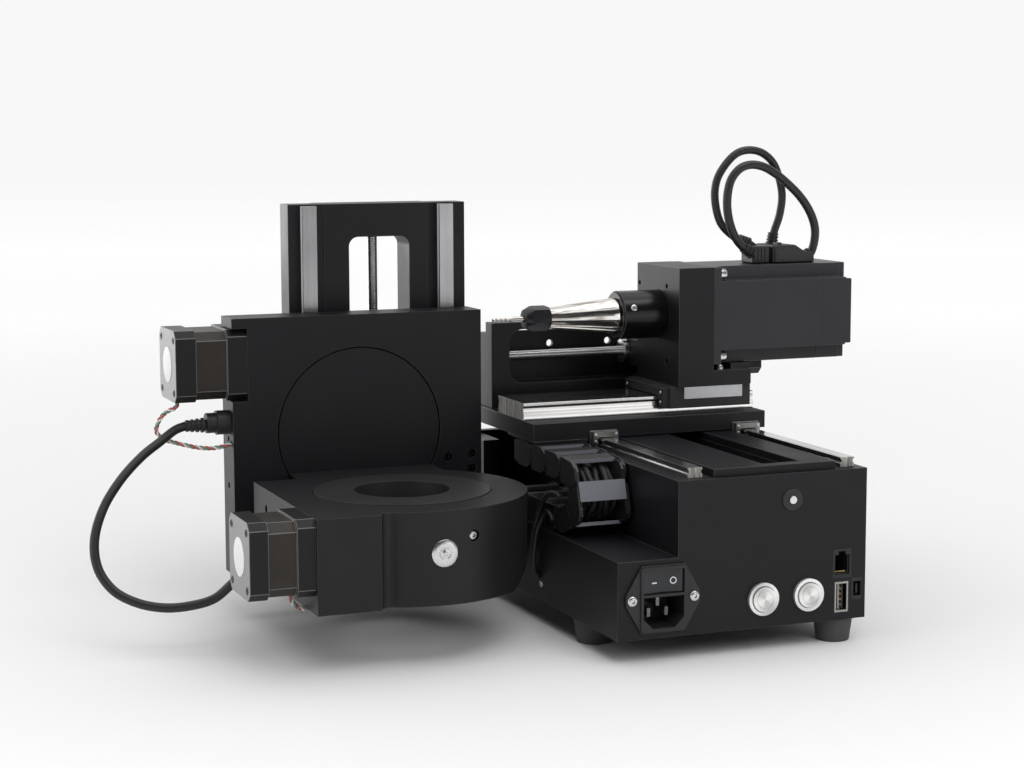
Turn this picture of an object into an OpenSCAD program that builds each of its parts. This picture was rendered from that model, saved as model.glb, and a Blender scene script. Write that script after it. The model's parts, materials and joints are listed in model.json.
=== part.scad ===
// Desktop five-axis milling machine: base box, column, spindle head and tilting rotary table.
// Millimetres, +Z up. Origin: on the surface it stands on, under the middle of the machine.

/* [Base box] */
// Width of the base box across X
base_w = 155; // [145:1:175]
// Depth of the base box along Y
base_d = 248; // [244:1:270]
// Height of the rubber feet
foot_h = 14; // [8:1:22]
// Height of the low ledge above the surface
ledge_z = 58; // [56:0.5:62]
// Height of the shoulders that carry the rails
shoulder_z = 100.5; // [98:0.5:101]
// Width of the low ledge on the left
ledge_w = 36.4; // [36:0.1:38]
// Wall thickness of the electronics bay
wall = 5; // [3:0.5:7]
// Radius of the push button caps
button_r = 7.4; // [6:0.1:8]

/* [Travel] */
// Travel of the spindle carriage along Y
x_travel = 115.5; // [90:0.5:118]
// Vertical travel of the table carriage
y_travel = 128.3; // [90:0.1:130]
// Travel of the head along X
z_travel = 85.5; // [60:0.1:85.5]

/* [Table carriage] */
// Width of the table carriage plate
carriage_w = 156.4; // [156:0.2:162]
// Thickness of the table carriage plate
carriage_t = 24.2; // [23:0.1:24.2]
// Height of the table carriage plate
carriage_h = 154.2; // [150:0.2:156]
// Height of the tilt axis above the surface
tilt_z = 110.4; // [108:0.2:114]
// Radius of the tilting disc
disc_r = 50.8; // [44:0.2:52]

/* [Rotary table] */
// Radius of the turntable
table_r = 50.7; // [40:0.1:54]
// Radius of the turntable's through bore
table_bore_r = 27.2; // [15:0.1:29]
// Radius of the rotary housing
housing_r = 71.5; // [68:0.5:72]
// Height of the rotary housing
housing_h = 52.2; // [46:0.1:54]

/* [Column] */
// Width of the column plate
column_w = 113.6; // [112:0.2:116]
// Thickness of the column plate
column_t = 17.2; // [12:0.2:17.2]
// Height of the column above the surface
column_z = 246; // [246:1:280]

/* [Head] */
// Width of the head block along X
head_w = 24.1; // [16:0.1:26]
// Depth of the head block along Y
head_d = 60.4; // [60:0.1:64.4]
// Size of the spindle motor across its flats
spindle_motor_s = 60; // [50:0.1:60]
// Length of the spindle motor
spindle_motor_l = 96.6; // [80:0.2:120]
// Diameter of the cutter's shank
cutter_d = 3.175; // [2:0.005:4]

/* [Fits] */
// Radial clearance of turning shafts in their bores
turn_fit = 0.05; // [0.03:0.01:0.1]
// Gap between a sliding bearing block and its rail
slide_fit = 0.35; // [0.3:0.05:0.6]

/* [Hidden] */
$fn = 96;
eps = 0.01;
black = [0.09, 0.09, 0.10];
dark = [0.05, 0.05, 0.055];
steel = [0.72, 0.73, 0.75];
silver = [0.82, 0.83, 0.85];

// Rails and screws
rail_w = 9;
rail_h = 5.7;
block_w = 18;
block_top = 9.8;
screw_r = 3.15;
pilot_r = screw_r + turn_fit;

// Base box
x_rail = [49.7, base_w - 9];
rail_y = [6.8, base_d - 15];
plate_gap = 0.7;
top_plate_z = shoulder_z + 4.6;
x_screw_x = 107.1;
x_screw_z = 85.5;
slot_x = [94, 117.4];
slot_y = [11, base_d - 16];
inlet_c = [26.8, 36.3];
button_x = [89, 117.7];
button_z = 30.5;
bezel_r = button_r + 2;
// Sockets at the right end of the front: left, right, bottom, top, depth
ports = [[134.2, 145.6, 38.4, 54.4, 20], [135.3, 144.1, 18.3, 35.9, 18], [146.5, 152.9, 25.3, 37.3, 12]];
foot_xy = [[11.8, 59], [base_w - 13.7, 12.5], [base_w - 15.5, base_d - 13], [-108, base_d - 10.5]];
motor_s = 42.3;
small_motor_s = 35.2;
x_motor_l = 34;

// Spindle carriage
plate_x = [4.1, base_w + 4.8];
wall_x = plate_x[0] + 2.2;
plate_y = [130.1, 224];
plate_z = [shoulder_z + 5.3, shoulder_z + 15.8];
wall_y = 204.5;
wall_top = plate_z[1] + 53.7;
z_rail_y = [146, 188];
z_rail_top = plate_z[1] + 10.5;
z_screw_y = 212;
z_screw_z = plate_z[1] + 31.9;
pocket_x = [18.4, 150];
z_motor_l = 32;

// Head, at rest near the right end of its travel
head_x = 101.8;
head_y = 133.7;
head_z = plate_z[1] + 17;
head_top = head_z + 72.9;
spindle_y = head_y + spindle_motor_s / 2;
spindle_z = head_top - spindle_motor_s / 2;
cartridge_r = 15;
cartridge_x = head_x - 29.8;
shaft_r = 6.3;
motor_x = head_x + head_w;
seam_x = motor_x + spindle_motor_l - 20.5;
nose_x = 27.5;
tip_x = -9;

// Column and table carriage
column_x = [-8.4 - column_w, -8.4];
column_y = 212.6;
y_screw_x = -64.5;
y_screw_y = 226;
window_x = [-83.5, -44.8];
window_top = column_z - 20.4;
y_rail = [-110, -22.4];
y_rail_face = column_y - rail_h;
carriage_x = [-165.7, carriage_w - 165.7];
carriage_y = [column_y - 6 - carriage_t, column_y - 6];
carriage_z = [27, 27 + carriage_h];
tilt_x = -87.5;
hub_r = 28;
a_motor_x = -199;
a_motor_l = 42.8;
a_motor_y = carriage_y[0] + 1;
a_motor_z = 132.5;
y_motor_z = [15, 39];
y_nut_z = [43.5, 64];

// Rotary housing, table axis and motor
table_y = 104.8;
table_z = 87.8;
housing_top = table_z - 0.5;
housing_z = housing_top - housing_h;
housing_left = -159.1;
housing_front = 34.3;
b_motor_l = 36.4;
b_motor_y = 36;
b_motor_z = housing_top - motor_s;
table_hub_r = min(33, table_bore_r + 5.8);

// Drag chain on the ledge
chain_x = [2.4, ledge_w - 1.8];
link_h = 15;
link_pitch = 22.2;
links = 10;
bend_y = 78.5;
chain_low_z = ledge_z + 0.4 + link_h / 2;
chain_high_z = plate_z[0] - 1.3 - link_h / 2;
bend_z = (chain_low_z + chain_high_z) / 2;
bend_r = (chain_high_z - chain_low_z) / 2;

// Middle of the whole machine
button_front = -3.2;
mid_x = (a_motor_x + motor_x + spindle_motor_l) / 2;
mid_y = (button_front + base_d + x_motor_l) / 2;

// Cord routes, measured from the base box's front left corner
motor_cable_a_d = 5;
motor_cable_a_pts = [[166, 158, 216], [161, 158, 219], [152, 159, 223], [143, 160, 232], [139, 160, 246],
    [140, 160, 258], [146, 160, 268], [154, 160, 275], [163, 160, 277], [172, 160, 275], [180, 161, 269],
    [185, 162, 260], [188, 163, 248], [187, 164, 236], [184, 165, 226], [182, 165, 219], [182, 165, 216.5]];
motor_cable_b_d = 5.4;
motor_cable_b_pts = [[202.6, 158, 209.6], [206.4, 158, 211.6], [208.4, 157, 219], [208, 156, 228], [203.6, 155, 238],
    [195.6, 154, 248], [185, 153, 257], [175.6, 152, 263.2], [167, 151, 267], [158.6, 151, 268], [150.7, 150, 265.5],
    [145, 150, 259], [142.6, 150, 250], [142.6, 150, 240], [145, 150, 230], [149, 150, 222], [155, 151, 216.4],
    [161.4, 153, 213]];
ab_cable_d = 5.4;
ab_cable_pts = [[-192, 193, 118], [-199, 191, 116], [-209, 184, 111], [-222, 176, 104], [-236, 167, 93],
    [-248, 158, 79], [-255, 150, 63], [-255, 143, 48], [-248, 136, 36], [-236, 130, 29], [-222, 125, 26],
    [-208, 120, 27], [-195, 116, 31], [-184, 112, 41], [-175, 112, 45.6], [-167.5, 112, 46]];
a_leads_d = 3;
a_leads_pts = [[-196.6, 191, 133.3], [-198, 191, 129.6], [-204, 192, 126.6], [-208, 194, 120.4], [-208.4, 195, 114.6],
    [-203, 195, 110], [-195, 194, 107.4], [-187, 192, 105.4], [-179, 190, 104.4], [-171, 189, 105], [-165.5, 188.5, 106.8]];
b_leads_d = 3;
b_leads_pts = [[-167, 58, 44.9], [-167, 58, 41], [-165, 59, 37], [-161, 61, 34.2], [-156, 63, 33.4], [-149, 65, 33.4]];
side_cable_d = 3;
side_cable_pts = [[[0.5, 81, 80.6], [0.5, 88, 81.6], [0.4, 95, 80.8], [0.3, 102, 78], [0.1, 107, 73.6],
    [-0.8, 110, 67.4], [-2.4, 111.6, 60.6], [-3.6, 113, 52], [-3.8, 114.6, 43], [-2.2, 116.4, 34], [0, 118, 30]],
    [[0.5, 92, 65], [0.4, 96, 68.4], [0.3, 101, 69], [0, 105, 66.4], [-1, 107.6, 61.8], [-2.8, 109, 56],
    [-3.8, 109.6, 48], [-4, 110.4, 40], [-3, 111.6, 32], [0, 112.6, 28]]];

// ---------- helpers ----------

module place() translate([-mid_x, -mid_y, 0]) children();

module block(a, b) translate(a) cube(b - a);

module rod_x(x, y, z, r) translate([x[0], y, z]) rotate([0, 90, 0]) cylinder(h = x[1] - x[0], r = r);

module rod_y(x, y, z, r) translate([x, y[0], z]) rotate([-90, 0, 0]) cylinder(h = y[1] - y[0], r = r);

module rod_z(x, y, z, r) translate([x, y, z[0]]) cylinder(h = z[1] - z[0], r = r);

// Solid of revolution about an axis along +X through y, z
module turned_x(y, z, profile) translate([0, y, z]) rotate([0, 90, 0]) rotate_extrude() polygon(profile);

// Square with equally cut corners
function cut_square(s, c) = [[c, 0], [s - c, 0], [s, c], [s, s - c], [s - c, s], [c, s], [0, s - c], [0, c]];

// Rounded rectangle from squares and circles
module round_rect(a, b, r) {
    translate([a[0] + r, a[1]]) square([b[0] - a[0] - 2 * r, b[1] - a[1]]);
    translate([a[0], a[1] + r]) square([b[0] - a[0], b[1] - a[1] - 2 * r]);
    for (x = [a[0] + r, b[0] - r], y = [a[1] + r, b[1] - r]) translate([x, y]) circle(r = r);
}

// A flat outline in X and Z, extruded along +Y from y[0] to y[1]
module slab_y(y) translate([0, y[1], 0]) rotate([90, 0, 0]) linear_extrude(y[1] - y[0]) children();

// A flat outline in Y and Z, extruded along +X
module slab_x(x) translate([x[0], 0, 0]) rotate([90, 0, 90]) linear_extrude(x[1] - x[0]) children();

// Stepper motor along +X: end bell, laminations, front bell
module stepper(s, l, bell) {
    slab_x([0, 0.29 * l]) polygon(cut_square(s, 4.2));
    translate([0, bell, bell]) slab_x([0.29 * l, 0.72 * l]) polygon(cut_square(s - 2 * bell, 5.2));
    slab_x([0.72 * l, l]) polygon(cut_square(s, 4.2));
}

// Closed tube along points; ref is a direction that the route never follows
function along(p, i) = let (n = len(p), v = p[min(i + 1, n - 1)] - p[max(i - 1, 0)]) v / norm(v);

function spline(a, b, c, d, t) = 0.5 * (2 * b + (c - a) * t + (2 * a - 5 * b + 4 * c - d) * t * t
    + (3 * b - a - 3 * c + d) * t * t * t);

function smooth(p, k) = let (n = len(p)) concat([for (i = [0:n - 2], j = [0:k - 1])
    spline(p[max(i - 1, 0)], p[i], p[i + 1], p[min(i + 2, n - 1)], j / k)], [p[n - 1]]);

module tube(pts, d, ref, sides = 8, k = 2) {
    p = smooth(pts, k);
    n = len(p);
    rings = [for (i = [0:n - 1]) let (t = along(p, i), c = cross(t, ref), u = c / norm(c), v = cross(t, u))
        for (j = [0:sides - 1]) p[i] + d / 2 * (cos(360 * j / sides) * u + sin(360 * j / sides) * v)];
    sides_of = [for (i = [0:n - 2], j = [0:sides - 1]) let (a = i * sides + j, b = i * sides + (j + 1) % sides)
        [b, a, a + sides, b + sides]];
    ends = [[for (j = [0:sides - 1]) j], [for (j = [sides - 1:-1:0]) (n - 1) * sides + j]];
    polyhedron(rings, concat(sides_of, ends));
}

// Miniature rail outline, base on the line z = 0, centred on zero
function rail_outline(w, h) = [[-w / 2, 0], [w / 2, 0], [w / 2, h * 0.35], [w / 2 - 0.8, h * 0.5],
    [w / 2 - 0.8, h * 0.72], [w / 2, h * 0.82], [w / 2, h], [-w / 2, h], [-w / 2, h * 0.82],
    [0.8 - w / 2, h * 0.72], [0.8 - w / 2, h * 0.5], [-w / 2, h * 0.35]];

// Bearing block outline straddling a rail whose base is on z = 0
module block_outline(w, low, top, slot_w, slot_h) difference() {
    translate([-w / 2, low]) square([w, top - low]);
    translate([-slot_w / 2, low - 1]) square([slot_w, slot_h - low + 1]);
}

// ---------- base ----------

module inlet_outline() polygon([for (p = [[-22.4, -3], [-13, -18.9], [13, -18.9], [22.4, -3], [22.4, 3], [13, 18.9],
    [-13, 18.9], [-22.4, 3]]) inlet_c + p]);

module base_housing() color(black) place() difference() {
    union() {
        block([0, 0, foot_h], [base_w, base_d, ledge_z]);
        block([ledge_w, 0, ledge_z], [base_w, base_d, shoulder_z]);
        block([column_x[0], column_y + column_t, foot_h], [0, base_d, ledge_z]);
        block([3.7, column_y, ledge_z], [14.6, base_d, 95]);
        block([3.7, base_d - 6, ledge_z], [ledge_w + 1, base_d, 97]);
    }
    block([wall, wall, foot_h - 1], [base_w - wall, base_d - wall, ledge_z - 3]);
    block([window_x[0], column_y, foot_h - 1], [window_x[1], y_screw_y + small_motor_s / 2 + 1, ledge_z + 1]);
    block([slot_x[0], slot_y[0], x_screw_z - 10.5], [slot_x[1], slot_y[1], shoulder_z + 1]);
    rod_y(x_screw_x, [-1, slot_y[0] + 1], x_screw_z, 6.4);
    rod_y(x_screw_x, [slot_y[1] - 1, base_d + 1], x_screw_z, screw_r + 0.5);
    block([inlet_c[0] - 14, -1, inlet_c[1] - 18], [inlet_c[0] + 14, wall + 1, inlet_c[1] + 18]);
    for (x = button_x) rod_y(x, [-1, wall + 1], button_z, button_r + 0.4);
    for (p = ports) block([p[0], -1, p[2]], [p[1], p[4], p[3]]);
    block([-1, 111, 27], [1.2, 112.6, 42]);
}

module base_cover() color(dark) place() difference() {
    block([wall, wall, foot_h], [base_w - wall, base_d - wall, foot_h + 2]);
    for (i = [0:11]) block([40 + 6 * i, 90, foot_h - 1], [43 + 6 * i, 150, foot_h + 3]);
}

module feet() color(dark) place() for (p = foot_xy) translate([p[0], p[1], 0]) difference() {
    cylinder(h = foot_h, r1 = 9.5, r2 = 11.4);
    translate([0, 0, -eps]) cylinder(h = 3, r = 4);
}

module top_plate() color(black) place() difference() {
    block([60, 4, shoulder_z], [base_w - 18.4, base_d - 12, top_plate_z]);
    block([slot_x[0], slot_y[0], shoulder_z - 1], [slot_x[1], slot_y[1], top_plate_z + 1]);
}

module x_rails() color(silver) place() for (x = x_rail)
    translate([x, 0, shoulder_z]) slab_y(rail_y) polygon(rail_outline(rail_w, rail_h));

module power_inlet() color(dark) place() {
    rocker_pin();
    inlet_body();
}

module inlet_body() difference() {
    union() {
        slab_y([-1.6, 0]) inlet_outline();
        slab_y([-2.6, 0]) round_rect(inlet_c - [13.8, 17.9], inlet_c + [13.8, 17.9], 2);
        block([inlet_c[0] - 13.8, 0, inlet_c[1] - 17.8], [inlet_c[0] + 13.8, 30, inlet_c[1] + 17.8]);
    }
    block([inlet_c[0] - 12.4, -3, 39.1], [inlet_c[0] + 12.4, 9, 52.4]);
    slab_y([-3, 19]) translate([inlet_c[0], 0]) polygon([[-12.2, 37.6], [-12.2, 25.6], [-6.6, 20], [6.6, 20],
        [12.2, 25.6], [12.2, 37.6]]);
    for (s = [-18.8, 18.8]) rod_y(inlet_c[0] + s, [-3, 1], inlet_c[1], 1.7);
}

module rocker_pin() rod_z(inlet_c[0], 3, [38.8, 52.8], 0.95);

module inlet_pins() color(steel) place() {
    for (x = [-6.4, 4.4]) block([inlet_c[0] + x, 3, 25], [inlet_c[0] + x + 2, 19, 29.8]);
    block([inlet_c[0] - 1, 3, 30.8], [inlet_c[0] + 1, 19, 35.4]);
    for (s = [-18.8, 18.8]) rod_y(inlet_c[0] + s, [-1.6, 0], inlet_c[1], 1.7);
    for (s = [-18.8, 18.8]) rod_y(inlet_c[0] + s, [button_front, -1.6], inlet_c[1], 3);
}

module power_rocker() color(dark) place() difference() {
    translate([inlet_c[0], 0, 45.75]) linear_extrude(12.4, center = true) polygon([[-11.8, -1.2], [0, 0.2],
        [11.8, -1.2], [11.8, 2], [3, 5.6], [-3, 5.6], [-11.8, 2]]);
    rod_z(inlet_c[0], 3, [38, 53.4], 1);
}

module button_bezels() color(steel) place() for (x = button_x) difference() {
    union() {
        rod_y(x, [-2.2, 0], button_z, bezel_r);
        rod_y(x, [0, wall + 4], button_z, button_r + 0.4);
    }
    rod_y(x, [-3, wall + 5], button_z, button_r);
}

module button(x) color(steel) place() difference() {
    rod_y(x, [button_front, 10], button_z, button_r - 0.3);
    difference() {
        rod_y(x, [button_front - 1, button_front + 0.4], button_z, button_r - 1.8);
        rod_y(x, [button_front - 1, button_front + 1], button_z, button_r - 2.7);
    }
}

module left_button() button(button_x[0]);

module right_button() button(button_x[1]);

module io_ports() color(steel) place() {
    difference() {
        for (p = ports) block([p[0], 0.2, p[2]], [p[1], p[4], p[3]]);
        block([135.2, -1, 40], [144.6, 16, 51.4]);
        block([137.6, -1, 51], [142.2, 8, 53.4]);
        block([136.4, -1, 19.5], [143, 15, 34.7]);
        block([147.4, -1, 27], [152.2, 8, 35.4]);
    }
    block([138.7, 3, 19.5], [140.2, 15, 34.7]);
}

module screw_insert() color(steel) place() difference() {
    union() {
        rod_y(x_screw_x, [-0.8, slot_y[0] - 1], x_screw_z, 6.4);
        rod_y(x_screw_x, [-1.6, 0], x_screw_z, 2.4);
    }
    rod_y(x_screw_x, [2, slot_y[0]], x_screw_z, pilot_r);
}

module x_motor() color(dark) place() difference() {
    translate([x_screw_x - motor_s / 2, base_d + x_motor_l, x_screw_z - motor_s / 2]) rotate([0, 0, -90])
        stepper(motor_s, x_motor_l, 1);
    rod_y(x_screw_x, [base_d - 1, base_d + 20], x_screw_z, screw_r + 0.5);
}

module column_plate() color(black) place() difference() {
    union() {
        block([column_x[0], column_y, foot_h], [column_x[1], column_y + column_t, column_z]);
        block([-101, column_y + column_t, ledge_z + 0.5], [-30, column_y + column_t + 6.3, column_z]);
    }
    slab_y([column_y - 1, column_y + 30]) round_rect([window_x[0], foot_h - 10], [window_x[1], window_top], 6);
    for (s = [0, 1]) block([y_rail[s] - 4.5 - 6 * s, column_y - 1, foot_h + 4],
        [y_rail[s] + 10.5 - 6 * s, column_y + 1.2, column_z + 1]);
    rod_z(y_screw_x, y_screw_y, [window_top - 1, window_top + 12], pilot_r);
}

module y_rails() color(silver) place() for (x = y_rail)
    translate([x, column_y + 1.2, foot_h + 4]) linear_extrude(column_z - foot_h - 5)
        mirror([0, 1]) polygon(rail_outline(rail_w, rail_h + 1.2));

module y_motor() color(dark) place() difference() {
    union() {
        translate([y_screw_x - small_motor_s / 2, y_screw_y - small_motor_s / 2, y_motor_z[0]])
            linear_extrude(y_motor_z[1] - y_motor_z[0]) polygon(cut_square(small_motor_s, 4));
        block([window_x[0], column_y, y_motor_z[1]], [window_x[1], column_y + column_t, y_motor_z[1] + 3]);
    }
    rod_z(y_screw_x, y_screw_y, [y_motor_z[0] + 8, y_motor_z[1] + 4], screw_r + 0.5);
}

module case_screws() color(silver) place() {
    rod_x([-0.8, 0], 108, 24.5, 2.2);
    for (x = [column_x[0] + 3.7, column_x[1] - 4.1]) rod_y(x, [column_y - 1.6, column_y], 21, 2.6);
}

// ---------- lead screws ----------

module x_screw() color(steel) place() rod_y(x_screw_x, [2.4, base_d + 16], x_screw_z, screw_r);

module y_screw() color(steel) place() rod_z(y_screw_x, y_screw_y, [y_motor_z[0] + 10, window_top + 10], screw_r);

module z_screw() color(steel) place() rod_x([wall_x + 2, plate_x[1] + 16], z_screw_y, z_screw_z, screw_r);

// ---------- spindle carriage ----------

module x_plate() color(black) place() difference() {
    block([plate_x[0], plate_y[0], plate_z[0]], [plate_x[1], plate_y[1], plate_z[1]]);
    for (x = x_rail) block([x - block_w / 2 - 0.3, plate_y[0] - 1, plate_z[0] - 1],
        [x + block_w / 2 + 0.3, plate_y[1] + 1, shoulder_z + block_top]);
}

module z_wall() color(black) place() difference() {
    union() {
        block([wall_x, wall_y, plate_z[1]], [plate_x[1], plate_y[1], wall_top]);
        block([154, 199, z_screw_z - 20], [plate_x[1], 233, wall_top]);
    }
    block([0, 215, wall_top - 7], [154, 240, wall_top + 1]);
    slab_y([wall_y - 6, 221]) round_rect([pocket_x[0], z_screw_z - 16.7], [pocket_x[1], z_screw_z + 17.3], 9);
    rod_x([wall_x + 1.7, pocket_x[0] + 1], z_screw_y, z_screw_z, pilot_r);
    rod_x([pocket_x[1] - 1, plate_x[1] + 1], z_screw_y, z_screw_z, screw_r + 0.5);
    for (x = [52.6, 93.2]) rod_y(x, [219, 226], z_screw_z + 6, 2.2);
    rod_z(22, 209.5, [wall_top - 3, wall_top + 1], 2.6);
}

module z_rail() color(silver) place() translate([0, (z_rail_y[0] + z_rail_y[1]) / 2, plate_z[1]])
    slab_x(plate_x) polygon(rail_outline(z_rail_y[1] - z_rail_y[0], z_rail_top - plate_z[1]));

module x_bearings() color(steel) place() for (x = x_rail, y = [126, 183.5]) translate([x, y, shoulder_z]) {
    slab_y([4, 36.5]) block_outline(block_w, 1.4, block_top, rail_w + 2 * slide_fit, rail_h + slide_fit);
    for (e = [[0, 4], [36.5, 40.5]]) slab_y(e)
        block_outline(block_w - 1.6, 1.8, block_top - 0.5, rail_w + 2 * slide_fit, rail_h + slide_fit);
}

module x_nut() color(dark) place() difference() {
    block([96, 164, x_screw_z - 8], [115, 190, plate_z[0]]);
    rod_y(x_screw_x, [150, 195], x_screw_z, pilot_r);
}

module z_motor() color(dark) place() difference() {
    translate([plate_x[1] + z_motor_l, z_screw_y + small_motor_s / 2, z_screw_z - small_motor_s / 2])
        rotate([0, 0, 180]) stepper(small_motor_s, z_motor_l, 1);
    rod_x([plate_x[1] - 1, plate_x[1] + 20], z_screw_y, z_screw_z, screw_r + 0.5);
}

module chain_bracket() color(black) place() {
    block([plate_x[0], plate_y[0] - 1, plate_z[0] - 1.3], [39.2, plate_y[0] + 42, plate_z[0]]);
}

// Joint k of the chain: five along the ledge, two round the bend, four under the spindle carriage
function chain_joint(k) = k < 5 ? [bend_y + 7 + link_pitch * (4 - k), chain_low_z]
    : k == 5 ? [bend_y - bend_r * cos(28.5), bend_z - bend_r * sin(28.5)]
    : k == 6 ? [bend_y - bend_r * cos(62.5), bend_z + bend_r * sin(62.5)]
    : [bend_y + 15 + link_pitch * (k - 7), chain_high_z];

// Middle and slope of link i
function chain_pose(i) = let (a = chain_joint(i), b = chain_joint(i + 1), m = (a + b) / 2)
    [m[0], m[1], -atan2(b[1] - a[1], a[0] - b[0])];

// Outer plate of one link, with an ear that covers the link before it
module link_plate() polygon([[2.8, -link_h / 2], [-11.5, -link_h / 2], [-16.6, -5], [-18.2, -2], [-18.2, 2],
    [-16.6, 5], [-11.5, link_h / 2], [2.8, link_h / 2]]);

// Inner strip of a side, then the plates that stand on it
module chain_side(inner, outer) {
    slab_x(inner) {
        for (i = [0:links - 1]) let (p = chain_pose(i)) translate([p[0], p[1]]) rotate(p[2])
            square([link_pitch - 1.6, link_h - 2.4], center = true);
        for (k = [1:links - 1]) let (a = chain_pose(k)[2])
            translate(chain_joint(k)) rotate(a + 9) polygon([for (i = [0:9]) 6.7 * [cos(36 * i), sin(36 * i)]]);
    }
    slab_x(outer) for (i = [0:links - 1]) let (p = chain_pose(i))
        translate([p[0], p[1]]) rotate(p[2]) mirror([1, 0]) link_plate();
}

module drag_chain() color(dark) place() {
    chain_side([chain_x[0] + 1, chain_x[0] + 2.8], [chain_x[0], chain_x[0] + 1.2]);
    chain_side([chain_x[1] - 2.8, chain_x[1] - 1], [chain_x[1] - 1.2, chain_x[1]]);
    for (i = [0:links - 1]) let (p = chain_pose(i)) translate([0, p[0], p[1]]) rotate([p[2], 0, 0]) {
        block([chain_x[0] + 1.6, -5.8, 0.4 - link_h / 2], [chain_x[1] - 1.6, 5.8, 2.6 - link_h / 2]);
        block([chain_x[0] + 1.6, -3.7, link_h / 2 - 2.6], [chain_x[1] - 1.6, 3.7, link_h / 2 - 0.5]);
    }
}

// ---------- head ----------

module head_block() color(black) place() difference() {
    union() {
        block([head_x, head_y, head_z], [head_x + head_w, head_y + head_d, head_top]);
        block([motor_x, head_y, head_z], [151.6, head_y + head_d - 0.6, head_z + 9.2]);
        block([138.6, head_y + 2, head_z + 9.2], [151.6, head_y + head_d - 2, head_top - spindle_motor_s]);
        block([head_x, head_y + head_d, z_screw_z - 8], [head_x + 15.5, 219.6, z_screw_z + 8]);
    }
    rod_x([head_x - 1, motor_x + 1], spindle_y, spindle_z, cartridge_r + 0.02);
    rod_x([head_x - 1, head_x + 16.5], z_screw_y, z_screw_z, 5.5);
    for (p = [[190.7, 193.6], [151.5, 194]]) rod_x([head_x - 1, head_x + 6], p[0], p[1], 1.5);
    rod_x([head_x - 1, head_x + 3], 151.7, 147.4, 1.8);
}

module z_bearing() color(dark) place() translate([0, (z_rail_y[0] + z_rail_y[1]) / 2, plate_z[1]]) {
    slab_x([97.5, 152.9]) block_outline(60, 3.4, 17, 42 + 2 * slide_fit, 10.5 + slide_fit);
    slab_x([93.7, 97.5]) block_outline(56, 4.2, 16, 42 + 2 * slide_fit, 10.5 + slide_fit);
}

module name_strip() color(silver) place() block([107, 136.4, plate_z[1] + 9], [147, 137, plate_z[1] + 16.4]);

module spindle_housing() color(dark) place() turned_x(spindle_y, spindle_z, [
    [shaft_r + turn_fit, cartridge_x], [cartridge_r - 1.2, cartridge_x], [cartridge_r, cartridge_x + 1.2],
    [cartridge_r, motor_x], [shaft_r + turn_fit, motor_x]]);

// Square body with a corner rebate along its whole length
module rebated(s, c, x) slab_x(x) difference() {
    translate([spindle_y - s / 2, spindle_z - s / 2]) square([s, s]);
    for (a = [-1, 1], b = [-1, 1]) translate([spindle_y + a * (s / 2 - c / 2 + 1), spindle_z + b * (s / 2 - c / 2 + 1)])
        square([c + 2, c + 2], center = true);
}

module spindle_motor() color(black) place() difference() {
    union() {
        slab_x([motor_x, motor_x + 5]) translate([spindle_y - spindle_motor_s / 2, spindle_z - spindle_motor_s / 2])
            square([spindle_motor_s, spindle_motor_s]);
        rebated(spindle_motor_s, 8.6, [motor_x + 5, seam_x]);
    }
    rod_x([motor_x - 1, motor_x + 35], spindle_y, spindle_z, shaft_r + 0.3);
}

module motor_end_cap() color(black) place() {
    rebated(spindle_motor_s, 8.6, [seam_x, seam_x + 16.5]);
    rebated(spindle_motor_s, 9.6, [seam_x + 16.5, motor_x + spindle_motor_l]);
}

module head_screws() color(silver) place() {
    q = spindle_motor_s / 2 - 4.6;
    for (a = [-1, 1], b = [-1, 1]) rod_x([motor_x + 5, motor_x + 9.5], spindle_y + a * q, spindle_z + b * q, 3.4);
    for (y = [head_y + 6, head_y + 52]) rod_z(132.5, y, [head_z + 9.2, head_z + 12.4], 3);
}

module z_nut() color(steel) place() difference() {
    union() {
        rod_x([head_x - 3.5, head_x], z_screw_y, z_screw_z, 7.6);
        rod_x([head_x, head_x + 15.5], z_screw_y, z_screw_z, 5.5);
    }
    rod_x([head_x - 6, head_x + 17], z_screw_y, z_screw_z, pilot_r);
}

module motor_connectors() color(dark) place() {
    block([160.6, 150, head_top], [173, 166, head_top + 11.2]);
    slab_y([148, 172]) polygon([[174, head_top], [203.6, head_top], [203.6, head_top + 6.4], [197, head_top + 7.2],
        [190, head_top + 11.6], [174, head_top + 11.6]]);
}

module motor_cable_a() color(dark) place() tube(motor_cable_a_pts, motor_cable_a_d, [0, 1, 0]);

module motor_cable_b() color(dark) place() tube(motor_cable_b_pts, motor_cable_b_d, [0, 1, 0]);

// ---------- turning spindle ----------

module spindle_nose() color(silver) place() turned_x(spindle_y, spindle_z, [
    [0, nose_x], [6.4, nose_x], [10.8, cartridge_x - 1.6], [10.8, cartridge_x - 0.4], [shaft_r, cartridge_x - 0.4],
    [shaft_r, motor_x + 32], [0, motor_x + 32]]);

module collet_nut() color(dark) place() difference() {
    translate([11.2, spindle_y, spindle_z]) rotate([0, 90, 0]) cylinder(h = nose_x - 11.2, r = 8.4, $fn = 6);
    rod_x([10, nose_x - 3], spindle_y, spindle_z, cutter_d / 2);
}

module cutter() color(steel) place() turned_x(spindle_y, spindle_z, [[0, tip_x], [0.9, tip_x], [0.9, 2],
    [cutter_d / 2, 4.5], [cutter_d / 2, nose_x - 3], [0, nose_x - 3]]);

// ---------- table carriage ----------

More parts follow.
